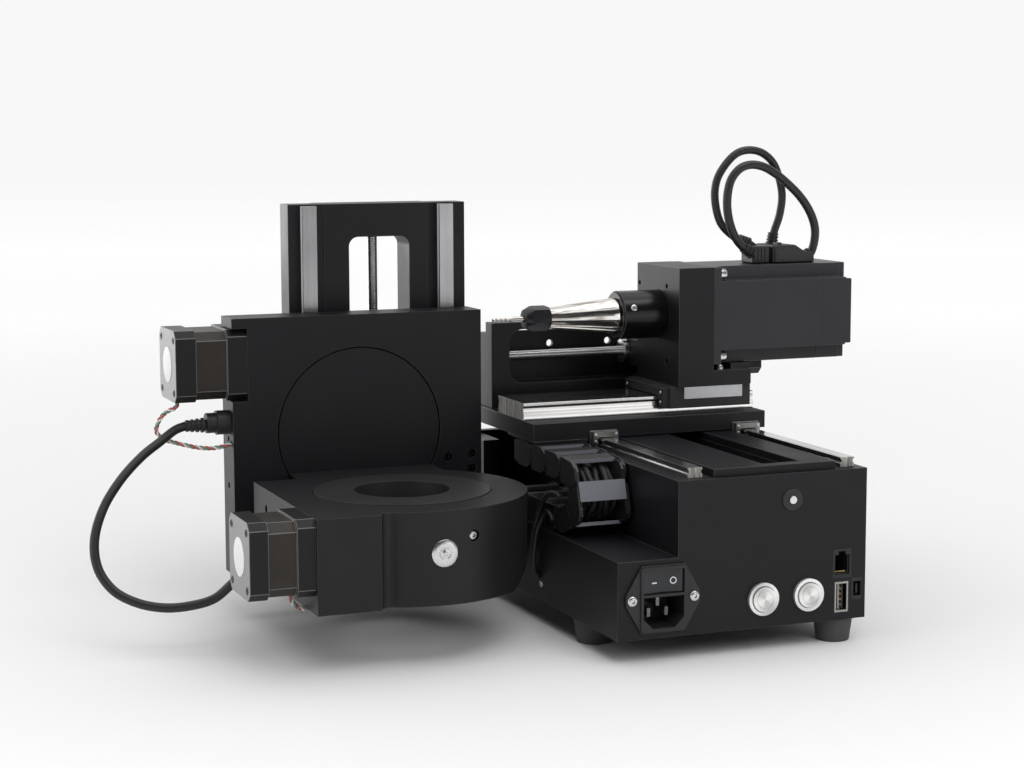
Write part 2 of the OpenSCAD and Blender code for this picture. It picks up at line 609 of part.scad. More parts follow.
module y_carriage() color(black) place() difference() {
    block([carriage_x[0], carriage_y[0], carriage_z[0]], [carriage_x[1], carriage_y[1], carriage_z[1]]);
    rod_y(tilt_x, [carriage_y[0] - 1, carriage_y[0] + 8.8], tilt_z, disc_r + 0.5);
    rod_y(tilt_x, [carriage_y[0], carriage_y[1] + 1], tilt_z, hub_r + turn_fit);
    block([carriage_x[0] - 1, carriage_y[0] - 1, a_motor_z - 0.5],
        [a_motor_x + a_motor_l, carriage_y[1] + 1, a_motor_z + motor_s + 0.5]);
    for (x = y_rail, z = [32, 78]) block([x - block_w / 2 - 0.2, column_y - block_top, z - 0.5],
        [x + block_w / 2 + 0.2, carriage_y[1] + 1, z + 39]);
    for (p = [[193.7, 108.7], [195.2, 80.7], [195, 32.5]])
        rod_x([carriage_x[0] - 1, carriage_x[0] + 8], p[0], p[1], 1.9);
    for (p = [[-31.3, 91.4], [-16.2, 92.4], [-16.2, 83]]) {
        rod_y(p[0], [carriage_y[0] - 1, carriage_y[0] + 6], p[1], 3.1);
    }
}

module y_bearings() color(steel) place() for (x = y_rail, z = [32, 78]) translate([x, column_y, z]) {
    translate([0, 0, 3.5]) linear_extrude(31) mirror([0, 1])
        block_outline(block_w, 1, block_top, rail_w + 2 * slide_fit, rail_h + slide_fit);
    for (e = [0, 34.5]) translate([0, 0, e]) linear_extrude(3.5) mirror([0, 1])
        block_outline(block_w - 1.6, 1.4, block_top - 0.5, rail_w + 2 * slide_fit, rail_h + slide_fit);
}

module y_nut() color(dark) place() difference() {
    block([y_screw_x - 11, carriage_y[1], y_nut_z[0]], [y_screw_x + 11, y_screw_y + 7, y_nut_z[1]]);
    rod_z(y_screw_x, y_screw_y, [y_nut_z[0] - 1, y_nut_z[1] + 1], pilot_r);
}

module a_motor() color(dark) place() translate([a_motor_x, a_motor_y, a_motor_z]) stepper(motor_s, a_motor_l, 1);

module cable_plug() color(dark) place() {
    rod_x([carriage_x[0] - 8, carriage_x[0]], 193, 119, 7.2);
    rod_x([carriage_x[0] - 14, carriage_x[0] - 8], 193, 119, 6);
    for (i = [0:3]) rod_x([carriage_x[0] - 17 - 3 * i, carriage_x[0] - 15.4 - 3 * i], 193, 118, 4.4 - 0.3 * i);
    rod_x([carriage_x[0] - 26.3, carriage_x[0] - 14], 193, 118, 3.2);
}

module a_leads() color([0.5, 0.1, 0.1]) place() tube(a_leads_pts, a_leads_d, [0, 1, 0]);

// ---------- tilting table ----------

module a_disc() color(black) place() difference() {
    union() {
        rod_y(tilt_x, [carriage_y[0], carriage_y[0] + 8.5], tilt_z, disc_r);
        rod_y(tilt_x, [carriage_y[0] + 8, column_y - block_top - 0.5], tilt_z, hub_r);
    }
    rod_y(tilt_x, [carriage_y[0] + 6, carriage_y[1] + 1], tilt_z, 18);
}

module housing_outline() difference() {
    union() {
        translate([tilt_x, table_y]) circle(r = housing_r);
        translate([housing_left, housing_front]) square([41.6, 128.5]);
    }
    translate([-117.3, 34]) circle(r = 5.8);
    translate([-117.5, 20]) square([8, 14.6]);
}

module b_housing() color(black) place() difference() {
    union() {
        translate([0, 0, housing_z]) linear_extrude(housing_h) housing_outline();
        intersection() {
            rod_y(tilt_x, [150, carriage_y[0]], tilt_z, disc_r - 0.4);
            block([-150, 140, housing_z], [0, 190, housing_top]);
        }
    }
    rod_z(tilt_x, table_y, [table_z - 10.6, table_z + 1], table_r + 0.5);
    rod_z(tilt_x, table_y, [housing_z - 1, table_z], table_hub_r + turn_fit);
    translate([-39.6, 0, housing_z]) rotate([0, -35.6, 0]) translate([0, 0, -40]) cube([60, 220, 40]);
    rod_x([housing_left - 1, housing_left + 5], 135.9, 76, 2.4);
    translate([tilt_x, table_y, 72]) rotate([0, 0, 14.5]) rod_y(0, [-housing_r - 1, -housing_r + 2.5], 0, 3.4);
}

module b_motor() color(dark) place() translate([housing_left - b_motor_l, b_motor_y, b_motor_z])
    stepper(motor_s, b_motor_l, 1);

module b_gland() color(dark) place() {
    rod_x([housing_left - 3, housing_left], 112, 46, 5.6);
    rod_x([housing_left - 7.9, housing_left - 3], 112, 46, 4.2);
}

module housing_screws() color(silver) place() {
    rod_y(tilt_x, [table_y - housing_r - 0.9, table_y - housing_r + 0.05], 64, 7.6);
    translate([tilt_x, table_y, 72]) rotate([0, 0, 14.5]) rod_y(0, [-housing_r + 0.7, -housing_r + 2.5], 0, 2.9);
}

module ab_cable() color(dark) place() tube(ab_cable_pts, ab_cable_d, [0, 1, 0]);

module b_leads() color([0.5, 0.1, 0.1]) place() tube(b_leads_pts, b_leads_d, [0, 1, 0]);

module b_table() color(black) place() difference() {
    union() {
        rod_z(tilt_x, table_y, [table_z - 10.2, table_z], table_r);
        rod_z(tilt_x, table_y, [housing_z + 1, table_z - 9], table_hub_r);
    }
    rod_z(tilt_x, table_y, [housing_z, table_z + 1], table_bore_r);
    rod_z(tilt_x + 1.5, table_y - 42.8, [table_z - 6, table_z + 1], 1.2);
}

module side_cables() color(dark) place() for (p = side_cable_pts) tube(p, side_cable_d, [1, 0.3, 0]);

base_housing();
base_cover();
feet();
top_plate();
x_rails();
power_inlet();
inlet_pins();
power_rocker();
button_bezels();
left_button();
right_button();
io_ports();
screw_insert();
x_motor();
column_plate();
y_rails();
y_motor();
case_screws();
x_screw();
y_screw();
x_plate();
z_wall();
z_rail();
x_bearings();
x_nut();
z_motor();
chain_bracket();
drag_chain();
z_screw();
head_block();
z_bearing();
name_strip();
spindle_housing();
spindle_motor();
motor_end_cap();
head_screws();
z_nut();
motor_connectors();
motor_cable_a();
motor_cable_b();
spindle_nose();
collet_nut();
cutter();
y_carriage();
y_bearings();
y_nut();
a_motor();
cable_plug();
a_leads();
a_disc();
b_housing();
b_motor();
b_gland();
housing_screws();
ab_cable();
b_leads();
b_table();
side_cables();
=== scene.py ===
# %% [markdown]
# # A desktop five-axis mill
# The machine stands on a base box that holds the electronics. On the right a spindle head
# slides on rails; on the left a column lifts a carriage, whose disc tilts a rotary table.
# The solid parts come from a packed CAD model, and this lesson gives them their looks:
# machined edges, anodised and ground finishes, screws, threads, sockets and cables.
# Every step first says what the real piece is, and then builds it.

import json
import math

import bmesh
import bpy
from mathutils import Matrix, Vector


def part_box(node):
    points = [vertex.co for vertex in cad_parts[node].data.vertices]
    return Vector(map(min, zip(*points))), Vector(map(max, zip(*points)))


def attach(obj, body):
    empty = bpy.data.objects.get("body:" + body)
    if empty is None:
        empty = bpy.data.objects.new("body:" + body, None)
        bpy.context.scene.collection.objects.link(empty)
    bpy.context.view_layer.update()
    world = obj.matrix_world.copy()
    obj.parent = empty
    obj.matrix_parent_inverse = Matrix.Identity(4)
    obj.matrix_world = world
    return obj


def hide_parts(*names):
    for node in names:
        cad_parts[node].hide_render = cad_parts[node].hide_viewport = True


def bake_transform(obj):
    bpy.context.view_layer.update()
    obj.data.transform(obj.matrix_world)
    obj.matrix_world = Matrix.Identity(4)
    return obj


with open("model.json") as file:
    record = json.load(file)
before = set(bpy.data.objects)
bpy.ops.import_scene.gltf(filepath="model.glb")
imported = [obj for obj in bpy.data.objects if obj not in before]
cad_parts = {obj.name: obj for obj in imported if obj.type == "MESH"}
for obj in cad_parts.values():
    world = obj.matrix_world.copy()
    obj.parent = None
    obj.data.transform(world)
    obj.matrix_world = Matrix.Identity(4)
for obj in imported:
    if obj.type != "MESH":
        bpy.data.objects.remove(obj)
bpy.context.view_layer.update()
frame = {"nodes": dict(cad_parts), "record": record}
nodes = frame["nodes"]

# %% [markdown]
# Machinists measure from one corner. Here it is the front left corner of the base box, on the
# bench, in millimetres. The frame is in metres and has its origin under the middle of the
# machine, so one small function turns shop numbers into frame numbers.

# %% From shop millimetres to the frame
MM = 0.001
MIDDLE = Vector((11.75, 139.4, 0))


def row(x, y, z):
    """A point in millimetres from the base box's front left corner, as metres in the frame."""
    return (Vector((x, y, z)) - MIDDLE) * MM


print("corner of the base box in the frame:", [round(v, 4) for v in row(0, 0, 0)])

# %% [markdown]
# The camera stands about 1.3 m in front of the machine, a little to its left and not much
# higher than the spindle, with a long lens that keeps the upright edges nearly parallel.

# %% Camera


def show(thing):
    """Link a thing into the scene."""
    bpy.context.scene.collection.objects.link(thing)
    return thing


camera_data = bpy.data.cameras.new("camera")
camera_data.lens, camera_data.sensor_width = 75.2, 36
camera = show(bpy.data.objects.new("camera", camera_data))
camera.location = (-0.4861, -1.1765, 0.3002)
LOOKING_DOWN, ROLLED, TURNED_RIGHT = 7.21, 0.17, 21.73
camera.rotation_euler = [math.radians(a) for a in (90 - LOOKING_DOWN, ROLLED, -TURNED_RIGHT)]
bpy.context.scene.camera = camera
print("camera height in mm:", round(camera.location.z / MM))

# %% [markdown]
# The cables are the first pieces, because their routes decide how much room the model takes.
# Each one is a few listed points, rounded by a spline that passes through all of them.
# The jacket is a tube along that line: a ring of points at every step, each turned just enough
# to stay square to the line, so that it keeps its real diameter everywhere. Three of them
# cross a moving joint; they are not put on a body and stay where they are made.

# %% A smooth line through a few points


def spline_points(points, steps=8):
    """A smooth line through every point: Catmull-Rom, the same rule as the solid cables."""
    line = []
    for i in range(len(points) - 1):
        a, b = points[max(i - 1, 0)], points[i]
        c, d = points[i + 1], points[min(i + 2, len(points) - 1)]
        for j in range(steps):
            t = j / steps
            line.append(0.5 * (2 * b + (c - a) * t + (2 * a - 5 * b + 4 * c - d) * t**2
                               + (3 * b - a - 3 * c + d) * t**3))
    return line + [points[-1]]


def run_of(line):
    """How long a line is, in millimetres."""
    return sum((b - a).length for a, b in zip(line, line[1:])) / MM


print("two points make a line of", len(spline_points([row(0, 0, 0), row(9, 0, 0)])), "points")

# %% [markdown]
# Each piece of the looks moves with one body of the CAD model. When it shows the same thing
# as a CAD node, that node is hidden, so that nothing is seen twice.

# %% Pieces on their bodies


def put(piece, body, slot_name, *stands_for, bend=None):
    """Link a piece, let it ride on its body, and hide the CAD nodes it stands for.

    A bend is a second body, with the points where the piece leaves the first and joins it;
    these are not used, and a piece given a bend rides on no body."""
    show(piece)
    if bend:
        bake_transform(piece)
    else:
        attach(piece, body)
    if stands_for:
        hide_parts(*stands_for)
    return piece


# %% Tubes


def frames(line):
    """A right-handed pair of side directions at each point, carried along without spinning."""
    side = Vector((0.02, 1, 0.03))
    for i, point in enumerate(line):
        ahead = (line[min(i + 1, len(line) - 1)] - line[max(i - 1, 0)]).normalized()
        side = (side - ahead * side.dot(ahead)).normalized()
        yield point, side, ahead.cross(side)


def skin(bm, rings, paint=0):
    """Join rings of points into a closed tube, with a flat cap at each end."""
    sides = len(rings[0])
    for a, b in zip(rings, rings[1:]):
        for k in range(sides):
            n = (k + 1) % sides
            face = bm.faces.new((a[k], a[n], b[n], b[k]))
            face.material_index, face.smooth = paint, True
    for ring in (rings[0][::-1], rings[-1]):
        bm.faces.new(ring).material_index = paint


def around(sides):
    """The angle of each point of a ring."""
    return [2 * math.pi * k / sides for k in range(sides)]


def spoke(u, v, turn):
    """The direction that lies at an angle between two directions."""
    return math.cos(turn) * u + math.sin(turn) * v


def tube_into(bm, line, radius, sides=8, paint=0):
    """Add a closed round tube along a line to a bmesh."""
    skin(bm, [[bm.verts.new(point + radius * spoke(u, v, turn)) for turn in around(sides)]
              for point, u, v in frames(line)], paint)


def piece_from(bm, name, *finishes):
    """Turn a bmesh into a piece with its finishes, and every face looking outwards."""
    mesh = bpy.data.meshes.new(name)
    bmesh.ops.recalc_face_normals(bm, faces=bm.faces)
    bm.to_mesh(mesh)
    bm.free()
    for finish in finishes:
        mesh.materials.append(finish)
    return bpy.data.objects.new(name, mesh)


def cable(name, line, diameter):
    bm = bmesh.new()
    tube_into(bm, line, diameter * MM / 2, 16)
    return piece_from(bm, name)


print("the points of a ring of 16 are", round(math.degrees(around(16)[1]), 1), "degrees apart")

# %% The five jacketed cables
# The routes are in shop millimetres. A cable's diameter is in millimetres too, and its real
# length is in metres.
motor_supply_route = [
    (166, 158, 216), (161, 158, 219), (152, 159, 223), (143, 160, 232), (139, 160, 246),
    (140, 160, 258), (146, 160, 268), (154, 160, 275), (163, 160, 277), (172, 160, 275),
    (180, 161, 269), (185, 162, 260), (188, 163, 248), (187, 164, 236), (184, 165, 226),
    (182, 165, 219), (182, 165, 216.5)]
motor_sensor_route = [
    (202.6, 158, 209.6), (206.4, 158, 211.6), (208.4, 157, 219), (208, 156, 228),
    (203.6, 155, 238), (195.6, 154, 248), (185, 153, 257), (175.6, 152, 263.2), (167, 151, 267),
    (158.6, 151, 268), (150.7, 150, 265.5), (145, 150, 259), (142.6, 150, 250),
    (142.6, 150, 240), (145, 150, 230), (149, 150, 222), (155, 151, 216.4), (161.4, 153, 213)]
table_route = [
    (-192, 193, 118), (-199, 191, 116), (-209, 184, 111), (-222, 176, 104), (-236, 167, 93),
    (-248, 158, 79), (-255, 150, 63), (-255, 143, 48), (-248, 136, 36), (-236, 130, 29),
    (-222, 125, 26), (-208, 120, 27), (-195, 116, 31), (-184, 112, 41), (-175, 112, 45.6),
    (-167.5, 112, 46)]
outer_side_route = [
    (0.5, 81, 80.6), (0.5, 88, 81.6), (0.4, 95, 80.8), (0.3, 102, 78), (0.1, 107, 73.6),
    (-0.8, 110, 67.4), (-2.4, 111.6, 60.6), (-3.6, 113, 52), (-3.8, 114.6, 43),
    (-2.2, 116.4, 34), (0, 118, 30)]
inner_side_route = [
    (0.5, 92, 65), (0.4, 96, 68.4), (0.3, 101, 69), (0, 105, 66.4), (-1, 107.6, 61.8),
    (-2.8, 109, 56), (-3.8, 109.6, 48), (-4, 110.4, 40), (-3, 111.6, 32), (0, 112.6, 28)]
# Where a cable leaves its own body, and where it has joined the next one.
bends = {
    "table_cable": ("tilt_table", (-193, 195.2, 117.1), (-170.3, 145.1, 138.3)),
    "outer_side_cable": ("spindle_carriage", outer_side_route[-1], outer_side_route[0]),
    "inner_side_cable": ("spindle_carriage", inner_side_route[-1], inner_side_route[0])}
cables = {}
for name, node, route, body, diameter, length, stiffness, lay in (
        ("motor_supply_cable", "motor_cable_a", motor_supply_route, "head",
         5, 0.162, "stiff", "loose"),
        ("motor_sensor_cable", "motor_cable_b", motor_sensor_route, "head",
         5.4, 0.160, "stiff", "loose"),
        ("table_cable", "ab_cable", table_route, "table_carriage",
         5.4, 0.2225, "medium", "hanging"),
        ("outer_side_cable", "side_cables", outer_side_route, "base",
         3, 0.075, "medium", "loose"),
        ("inner_side_cable", "side_cables", inner_side_route, "base",
         3, 0.056, "medium", "loose")):
    line = spline_points([row(*p) for p in route])
    cables[name] = put(cable(name, line, diameter), body, "cable_black", node,
                       bend=bends.get(name))
    print(name, "runs", round(run_of(line)), "mm")

# %% [markdown]
# The two bundles of thin leads are each three insulated wires twisted together: three small
# tubes that wind round the centre line, with a colour for each wire.

# %% Twisted leads
TWIST_RADIUS = 1.55  # how far from the middle the wires lie, in radii of a wire


def twisted(name, line, wires=3, wire=0.55, pitch=9):
    """Wires of radius wire, twisted once every pitch millimetres, each with its own paint."""
    bm = bmesh.new()
    run, strands = 0, [[] for _ in range(wires)]
    last = line[0]
    for point, u, v in frames(line):
        run += (point - last).length
        last = point
        for k, strand in enumerate(strands):
            turn = 2 * math.pi * (run / (pitch * MM) + k / wires)
            strand.append(point + TWIST_RADIUS * wire * MM * spoke(u, v, turn))
    for k, strand in enumerate(strands):
        tube_into(bm, strand, wire * MM, 8, k)
    return piece_from(bm, name)


tilt_leads_route = [
    (-196.6, 191, 133.3), (-198, 191, 129.6), (-204, 192, 126.6), (-208, 194, 120.4),
    (-208.4, 195, 114.6), (-203, 195, 110), (-195, 194, 107.4), (-187, 192, 105.4),
    (-179, 190, 104.4), (-171, 189, 105), (-165.5, 188.5, 106.8)]
turn_leads_route = [
    (-167, 58, 46.6), (-167, 58, 41), (-165, 59, 37), (-161, 61, 34.2), (-156, 63, 33.4),
    (-149, 65, 33.6), (-147.6, 65.4, 34)]
leads = {}
for name, route, body, length, node in (
        ("tilt_motor_leads", tilt_leads_route, "table_carriage", 0.071, "a_leads"),
        ("turn_motor_leads", turn_leads_route, "tilt_table", 0.0301, "b_leads")):
    line = spline_points([row(*p) for p in route], 12)
    leads[name] = put(twisted(name, line), body, "lead_red", node)
    print(name, "runs", round(run_of(line), 1), "mm")

# %% [markdown]
# Now the finishes. Every finish is a small network of shader nodes, and writing those by hand
# takes many lines. So a wrapped socket lets the maths be written as plain Python: adding or
# multiplying two of them makes the Math node that does it. Every other node comes from one
# method, which takes the node's type, its sockets' values or links, and its settings.

# %% Shader maths as expressions


class Signal:
    """A number or colour that flows from one node's socket."""

    def __init__(self, finish, socket):
        self.finish, self.socket = finish, socket

    def math(self, operation, *terms):
        return self.finish.node("Math", dict(enumerate(terms)), operation=operation)

    def __add__(self, other):
        return self.math("ADD", self, other)

    def __sub__(self, other):
        return self.math("SUBTRACT", self, other)

    def __rsub__(self, other):
        return self.math("SUBTRACT", other, self)

    def __mul__(self, other):
        return self.math("MULTIPLY", self, other)

    def __gt__(self, other):
        return self.math("GREATER_THAN", self, other)

    def __lt__(self, other):
        return self.math("LESS_THAN", self, other)

    __radd__, __rmul__ = __add__, __mul__


print("operators that make nodes: + - * > <")

# %% A finish made of nodes
FACING = 0.9  # a face looks along an axis when its normal's share there is above this


class Nodes:
    """A node tree, and the one method that adds nodes to it."""

    def __init__(self, tree):
        self.tree = tree

    def node(self, kind, inputs=None, out=0, **settings):
        """Any node: its type, what goes into its sockets, what it gives, and its settings."""
        made = self.tree.nodes.new("ShaderNode" + kind)
        for key, value in settings.items():
            if key == "stops":
                ramp = made.color_ramp.elements
                while len(ramp) < len(value):
                    ramp.new(1)
                for stop, (at, grey) in zip(ramp, value):
                    stop.position = at
                    stop.color = (grey, grey, grey, 1)
            else:
                setattr(made, key, value)
        for key, value in (inputs or {}).items():
            if isinstance(value, Signal):
                self.tree.links.new(value.socket, made.inputs[key])
            else:
                made.inputs[key].default_value = value
        return Signal(self, made.outputs[out])

    def part(self, vector, axis):
        """One of a vector's three numbers."""
        return self.node("SeparateXYZ", {0: vector}, axis)


class Finish(Nodes):
    """A material with one Principled shader, whose fixed values are set on its own sockets."""

    def __init__(self, name, **fixed):
        self.material = bpy.data.materials.new(name)
        self.material.use_nodes = True
        super().__init__(self.material.node_tree)
        self.shader = self.tree.nodes["Principled BSDF"]
        for socket, value in fixed.items():
            self.shader.inputs[socket.replace("_", " ")].default_value = value
        self.place = self.node("TexCoord", out="Object")

    def feed(self, **signals):
        """Link signals to the shader's own sockets."""
        for socket, signal in signals.items():
            self.tree.links.new(signal.socket, self.shader.inputs[socket.replace("_", " ")])
        return self

    def stretch(self, x=1, y=1, z=1):
        """The piece's own place, scaled along its axes, for grain that runs one way."""
        return self.node("Mapping", {"Vector": self.place, "Scale": (x, y, z)})

    def noise(self, size, detail=2, place=None, rough=0.5):
        """Cloudy noise from 0 to 1 whose patches are about size millimetres."""
        return self.node("TexNoise", {"Vector": place or self.place, "Scale": 1 / (size * MM),
                                      "Detail": detail, "Roughness": rough})

    def ramp(self, signal, *stops):
        """Greys between stops, each a place from 0 to 1 and the grey there."""
        return self.node("ValToRGB", {0: signal}, stops=stops)

    def blend(self, amount, a, b):
        """Colour a where amount is 0, colour b where it is 1."""
        a, b = (c if isinstance(c, Signal) else (*c, 1) for c in (a, b))
        return self.node("Mix", {0: amount, 6: a, 7: b}, 2, data_type="RGBA")

    def bump(self, height, depth):
        """A surface that rises by depth millimetres where height goes from 0 to 1."""
        return self.node("Bump", {"Height": height, "Distance": depth * MM, "Strength": 1.0})

    def vector(self, operation, a, b=None, out=0):
        """Vector maths on one or two vectors."""
        given = {0: a} if b is None else {0: a, 1: b}
        return self.node("VectorMath", given, out, operation=operation)

    def edges(self, radius):
        """1 on edges sharper than about 30 degrees, within radius millimetres of them."""
        soft = self.node("Bevel", {"Radius": radius * MM}, samples=4)
        hard = self.node("NewGeometry", out="True Normal")
        dot = self.vector("DOT_PRODUCT", soft, hard, "Value")
        return self.ramp(1 - dot, (0.02, 0), (0.1, 1))

    def ends(self, axis):
        """1 on faces square to an axis, such as the sawn ends of a bar."""
        along = self.part(self.node("NewGeometry", out="True Normal"), axis)
        return along.math("ABSOLUTE", along) > FACING


print("a finish can be built with:", *[word for word in vars(Finish) if word[0] != "_"])

# %% [markdown]
# Most of the machine is aluminium, bead-blasted and anodised black. Up close it isn't one
# black: the dye takes a little differently over the plate, hands leave slightly glossier
# patches, the blasting leaves a fine tooth, and along the edges the film is thin and pale;
# that pale edge line is also a painted highlight of the light the edges catch.

# %% Black anodised aluminium


def anodised(name, tone=(0.0046, 0.0041, 0.0051), roughness=0.40, edge_wear_and_sheen=0.6):
    f = Finish(name, IOR=1.5, Specular_IOR_Level=0.27)
    cloud = f.noise(38, 4)
    speck = f.noise(0.5, 2)
    handled = f.ramp(f.noise(60, 3, rough=0.6), (0.48, 0), (0.72, 1))
    light = tuple(c * 1.9 for c in tone)
    colour = f.blend(cloud * 0.75 + speck * 0.25, tone, light)
    # Pale edges: partly worn, thin film and partly a painted highlight of the light that edges
    # catch.
    edge_wear_and_painted_highlight = f.edges(0.35) * f.ramp(f.noise(7, 3), (0.34, 0.25), (0.62, 1)) * edge_wear_and_sheen
    colour = f.blend(edge_wear_and_painted_highlight, colour, (0.13, 0.13, 0.14))
    tooth = f.bump(f.noise(0.32, 2), 0.012)
    return f.feed(Base_Color=colour, Normal=tooth,
                  Roughness=roughness + speck * 0.06 - handled * 0.07 + cloud * 0.05).material


black_plate = anodised("black_anodised_plate")
black_casting = anodised("black_anodised_housing", (0.0074, 0.0069, 0.0078), 0.42)
black_turned = anodised("black_turned_cartridge", (0.0030, 0.0029, 0.0030), 0.17)
print("anodised finishes:", black_plate.name, black_casting.name, black_turned.name)

# %% [markdown]
# Rails and rods are hardened steel. A rail is ground along its length, so its grain is fine
# lines that run one way, and wider streaks of oil lie along it. All of them come from noise
# that is stretched hard along the grain and then used for tone, roughness and bump. Only the
# ends were left as the saw cut them: they are dull, and the saw's marks run upright.

# %% Ground and turned steel


def ground(name, along, tone=(0.60, 0.60, 0.615), roughness=0.20, stain=0.35, streak=0.4,
           sawn=False):
    f = Finish(name, Metallic=1.0)
    scale = [0.4 if k == along else 60.0 for k in range(3)]
    grain = f.noise(26, 3, f.stretch(*scale), 0.6)
    cloud = f.noise(30, 3)
    dark = tuple(c * 0.72 for c in tone)
    colour = f.blend(f.ramp(cloud, (0.42, 0), (0.75, 1)) * stain, tone, dark)
    lines = f.noise(1.8, 1, f.stretch(*[0 if k == along else 1 for k in range(3)]))
    brown = tuple(c * k for c, k in zip(tone, (0.36, 0.33, 0.31)))
    colour = f.blend(f.ramp(lines, (0.46, 0), (0.58, 1)) * streak, colour, brown)
    rough = roughness + grain * 0.10 + cloud * 0.04
    if sawn:
        end = f.ends(along)
        marks = f.ramp(f.noise(1.4, 3, f.stretch(1, 1, 0.12)), (0.35, 0), (0.65, 1))
        cut = f.blend(marks, (0.17, 0.165, 0.155), (0.42, 0.41, 0.385))
        colour = f.blend(end, colour, cut)
        rough = rough + end * 0.3
        f.feed(Metallic=1 - end * 0.75)
    return f.feed(Base_Color=colour, Normal=f.bump(grain, 0.0015), Roughness=rough).material


ground_x = ground("ground_steel_across", 0, (0.74, 0.73, 0.72), 0.10, 0.25, sawn=True)
ground_y = ground("ground_steel_along", 1, (0.64, 0.63, 0.62), 0.13, sawn=True)
ground_z = ground("ground_steel_upright", 2, (0.40, 0.40, 0.41), 0.22, 0.5, 0.1)
turned_nose = ground("polished_nose", 0, (0.80, 0.775, 0.745), 0.06, 0.15, 0.75)
bright_screw = ground("bright_screw_steel", 1, (0.68, 0.68, 0.69), 0.2, 0.2, 0)
rod_steel = ground("rolled_rod_steel", 1, (0.62, 0.62, 0.61), 0.18, 0.2, 0)
print("steel finishes:", *[f.name for f in (
    ground_x, ground_y, ground_z, turned_nose, bright_screw, rod_steel)])

# %% [markdown]
# The stepper motors have painted end bells and, between them, a bare stack of laminations:
# thin steel plates that show as fine lines across the motor and a brownish tint of oil.
# The lines could be cut as grooves, but they are so fine that a wave along the motor's axis
# does as well: it gives both the lines and their bump. The far end of each motor is bare cast
# aluminium, and those of the two table motors carry a round white pad.

# %% Motor finishes
motor_paint = anodised("motor_bell_black", (0.0050, 0.0048, 0.0050), 0.38, 0.5)
spindle_paint = anodised("spindle_motor_paint", (0.0150, 0.0146, 0.0170), 0.36, 0.7)


def laminated(name):
    f = Finish(name, Metallic=0.3)
    plates = f.node("TexWave", {"Vector": f.place, "Scale": 0.32 / MM, "Distortion": 0.4},
                    "Fac", bands_direction="X", wave_profile="SIN")
    oil = f.noise(9, 4, f.stretch(0.4, 1, 1))
    colour = f.blend(oil, (0.013, 0.0100, 0.0080), (0.036, 0.028, 0.022))
    colour = f.blend(plates * 0.4, colour, (0.007, 0.006, 0.005))
    return f.feed(Base_Color=colour, Normal=f.bump(plates, 0.05),
                  Roughness=0.42 + oil * 0.15).material


laminations = laminated("motor_laminations")
print("motor finishes:", motor_paint.name, spindle_paint.name, laminations.name)

# %% [markdown]
# Moulded plastic has a spark-eroded grain, rubber is duller still, and a cable jacket is
# smooth with faint flow marks. One function makes all of them from a tone and a few numbers.

# %% Plastics, rubber and wire


def moulded(name, tone, roughness, grain=0.35, depth=0.02, mottled=0.5):
    f = Finish(name, IOR=1.48)
    cloud = f.noise(14, 3)
    pits = f.noise(grain, 2)
    colour = f.blend(cloud * mottled, tone, tuple(min(1, 1.7 * c + 0.004) for c in tone))
    return f.feed(Base_Color=colour, Normal=f.bump(pits, depth),
                  Roughness=roughness + pits * 0.12 + cloud * 0.05).material


plastic = moulded("moulded_black_plastic", (0.011, 0.011, 0.012), 0.38)
gloss = moulded("glossy_black_plastic", (0.009, 0.010, 0.012), 0.16, 0.6, 0.004)
chain_plastic = moulded("chain_nylon", (0.0085, 0.0085, 0.0090), 0.26, 0.5, 0.012)
# The crossbars' paler grey-blue is a painted reflection of a soft box on glossy bars.
crossbar_painted_reflection = moulded("chain_crossbar_painted_reflection", (0.120, 0.124, 0.142), 0.34, 0.5, 0.012, 0.1)
rubber = moulded("foot_rubber", (0.044, 0.044, 0.045), 0.66, 0.5, 0.04)
jacket = moulded("cable_jacket_black", (0.010, 0.010, 0.011), 0.36, 0.8, 0.01)
wire_jacket = moulded("chain_wire_jacket", (0.009, 0.009, 0.010), 0.48, 0.8, 0.01)
white_pad = moulded("pale_round_pad", (0.80, 0.80, 0.79), 0.5, 0.4, 0.01, 0.2)
pale_print = moulded("pale_marks", (0.62, 0.64, 0.66), 0.4, 0.4, 0.01, 0.2)
cover_paint = moulded("matte_black_paint", (0.012, 0.012, 0.013), 0.50, 0.28, 0.02)
wire_colours = [moulded(f"wire_{n}", c, 0.38, 0.6, 0.006, 0.3) for n, c in (
    ("red", (0.40, 0.070, 0.070)), ("green", (0.10, 0.21, 0.15)),
    ("white", (0.55, 0.53, 0.50)))]
for piece in cables.values():
    piece.data.materials.append(jacket)
for piece in leads.values():
    for paint in wire_colours:
        piece.data.materials.append(paint)
print("plastics made: 10; wire colours:", len(wire_colours))

# %% [markdown]
# The push buttons are spun while they are brushed, so their scratches are circles. So are
# the lines that the lathe leaves on the turntable. The distance from the piece's own axis
# drives the rings, which needs its place in the frame.

# %% Brushed rings and small metals


def rings_about(f, centre, flat, width):
    """Noise in rings about an axis: flat is 1 along the two directions across that axis."""
    across = f.vector("MULTIPLY", f.vector("SUBTRACT", f.place, tuple(centre)), flat)
    radius = f.vector("LENGTH", across, out="Value")
    return f.noise(width, 3, f.node("CombineXYZ", {0: radius}), 0.7)


def spun(name, centre, tone=(0.90, 0.90, 0.89)):
    """Brushed in circles, with two pale fans painted about the middle: the highlight that
    brushed metal shows.
    """
    f = Finish(name, Metallic=0.75)
    rings = rings_about(f, centre, (1, 0, 1), 0.22)
    offset = f.vector("SUBTRACT", f.place, tuple(centre))
    up, across = (f.part(offset, side) for side in "ZX")
    # The pale fans are a painted highlight, lighter and darker by angle round the middle.
    angle = up.math("ARCTAN2", up, across) * 2 + 0.6
    fan_highlight = angle.math("SINE", angle)
    colour = f.blend(fan_highlight * 0.5 + 0.5, tuple(c * 0.62 for c in tone), tone)
    return f.feed(Base_Color=colour, Normal=f.bump(rings, 0.02),
                  Roughness=0.2 + rings * 0.2).material


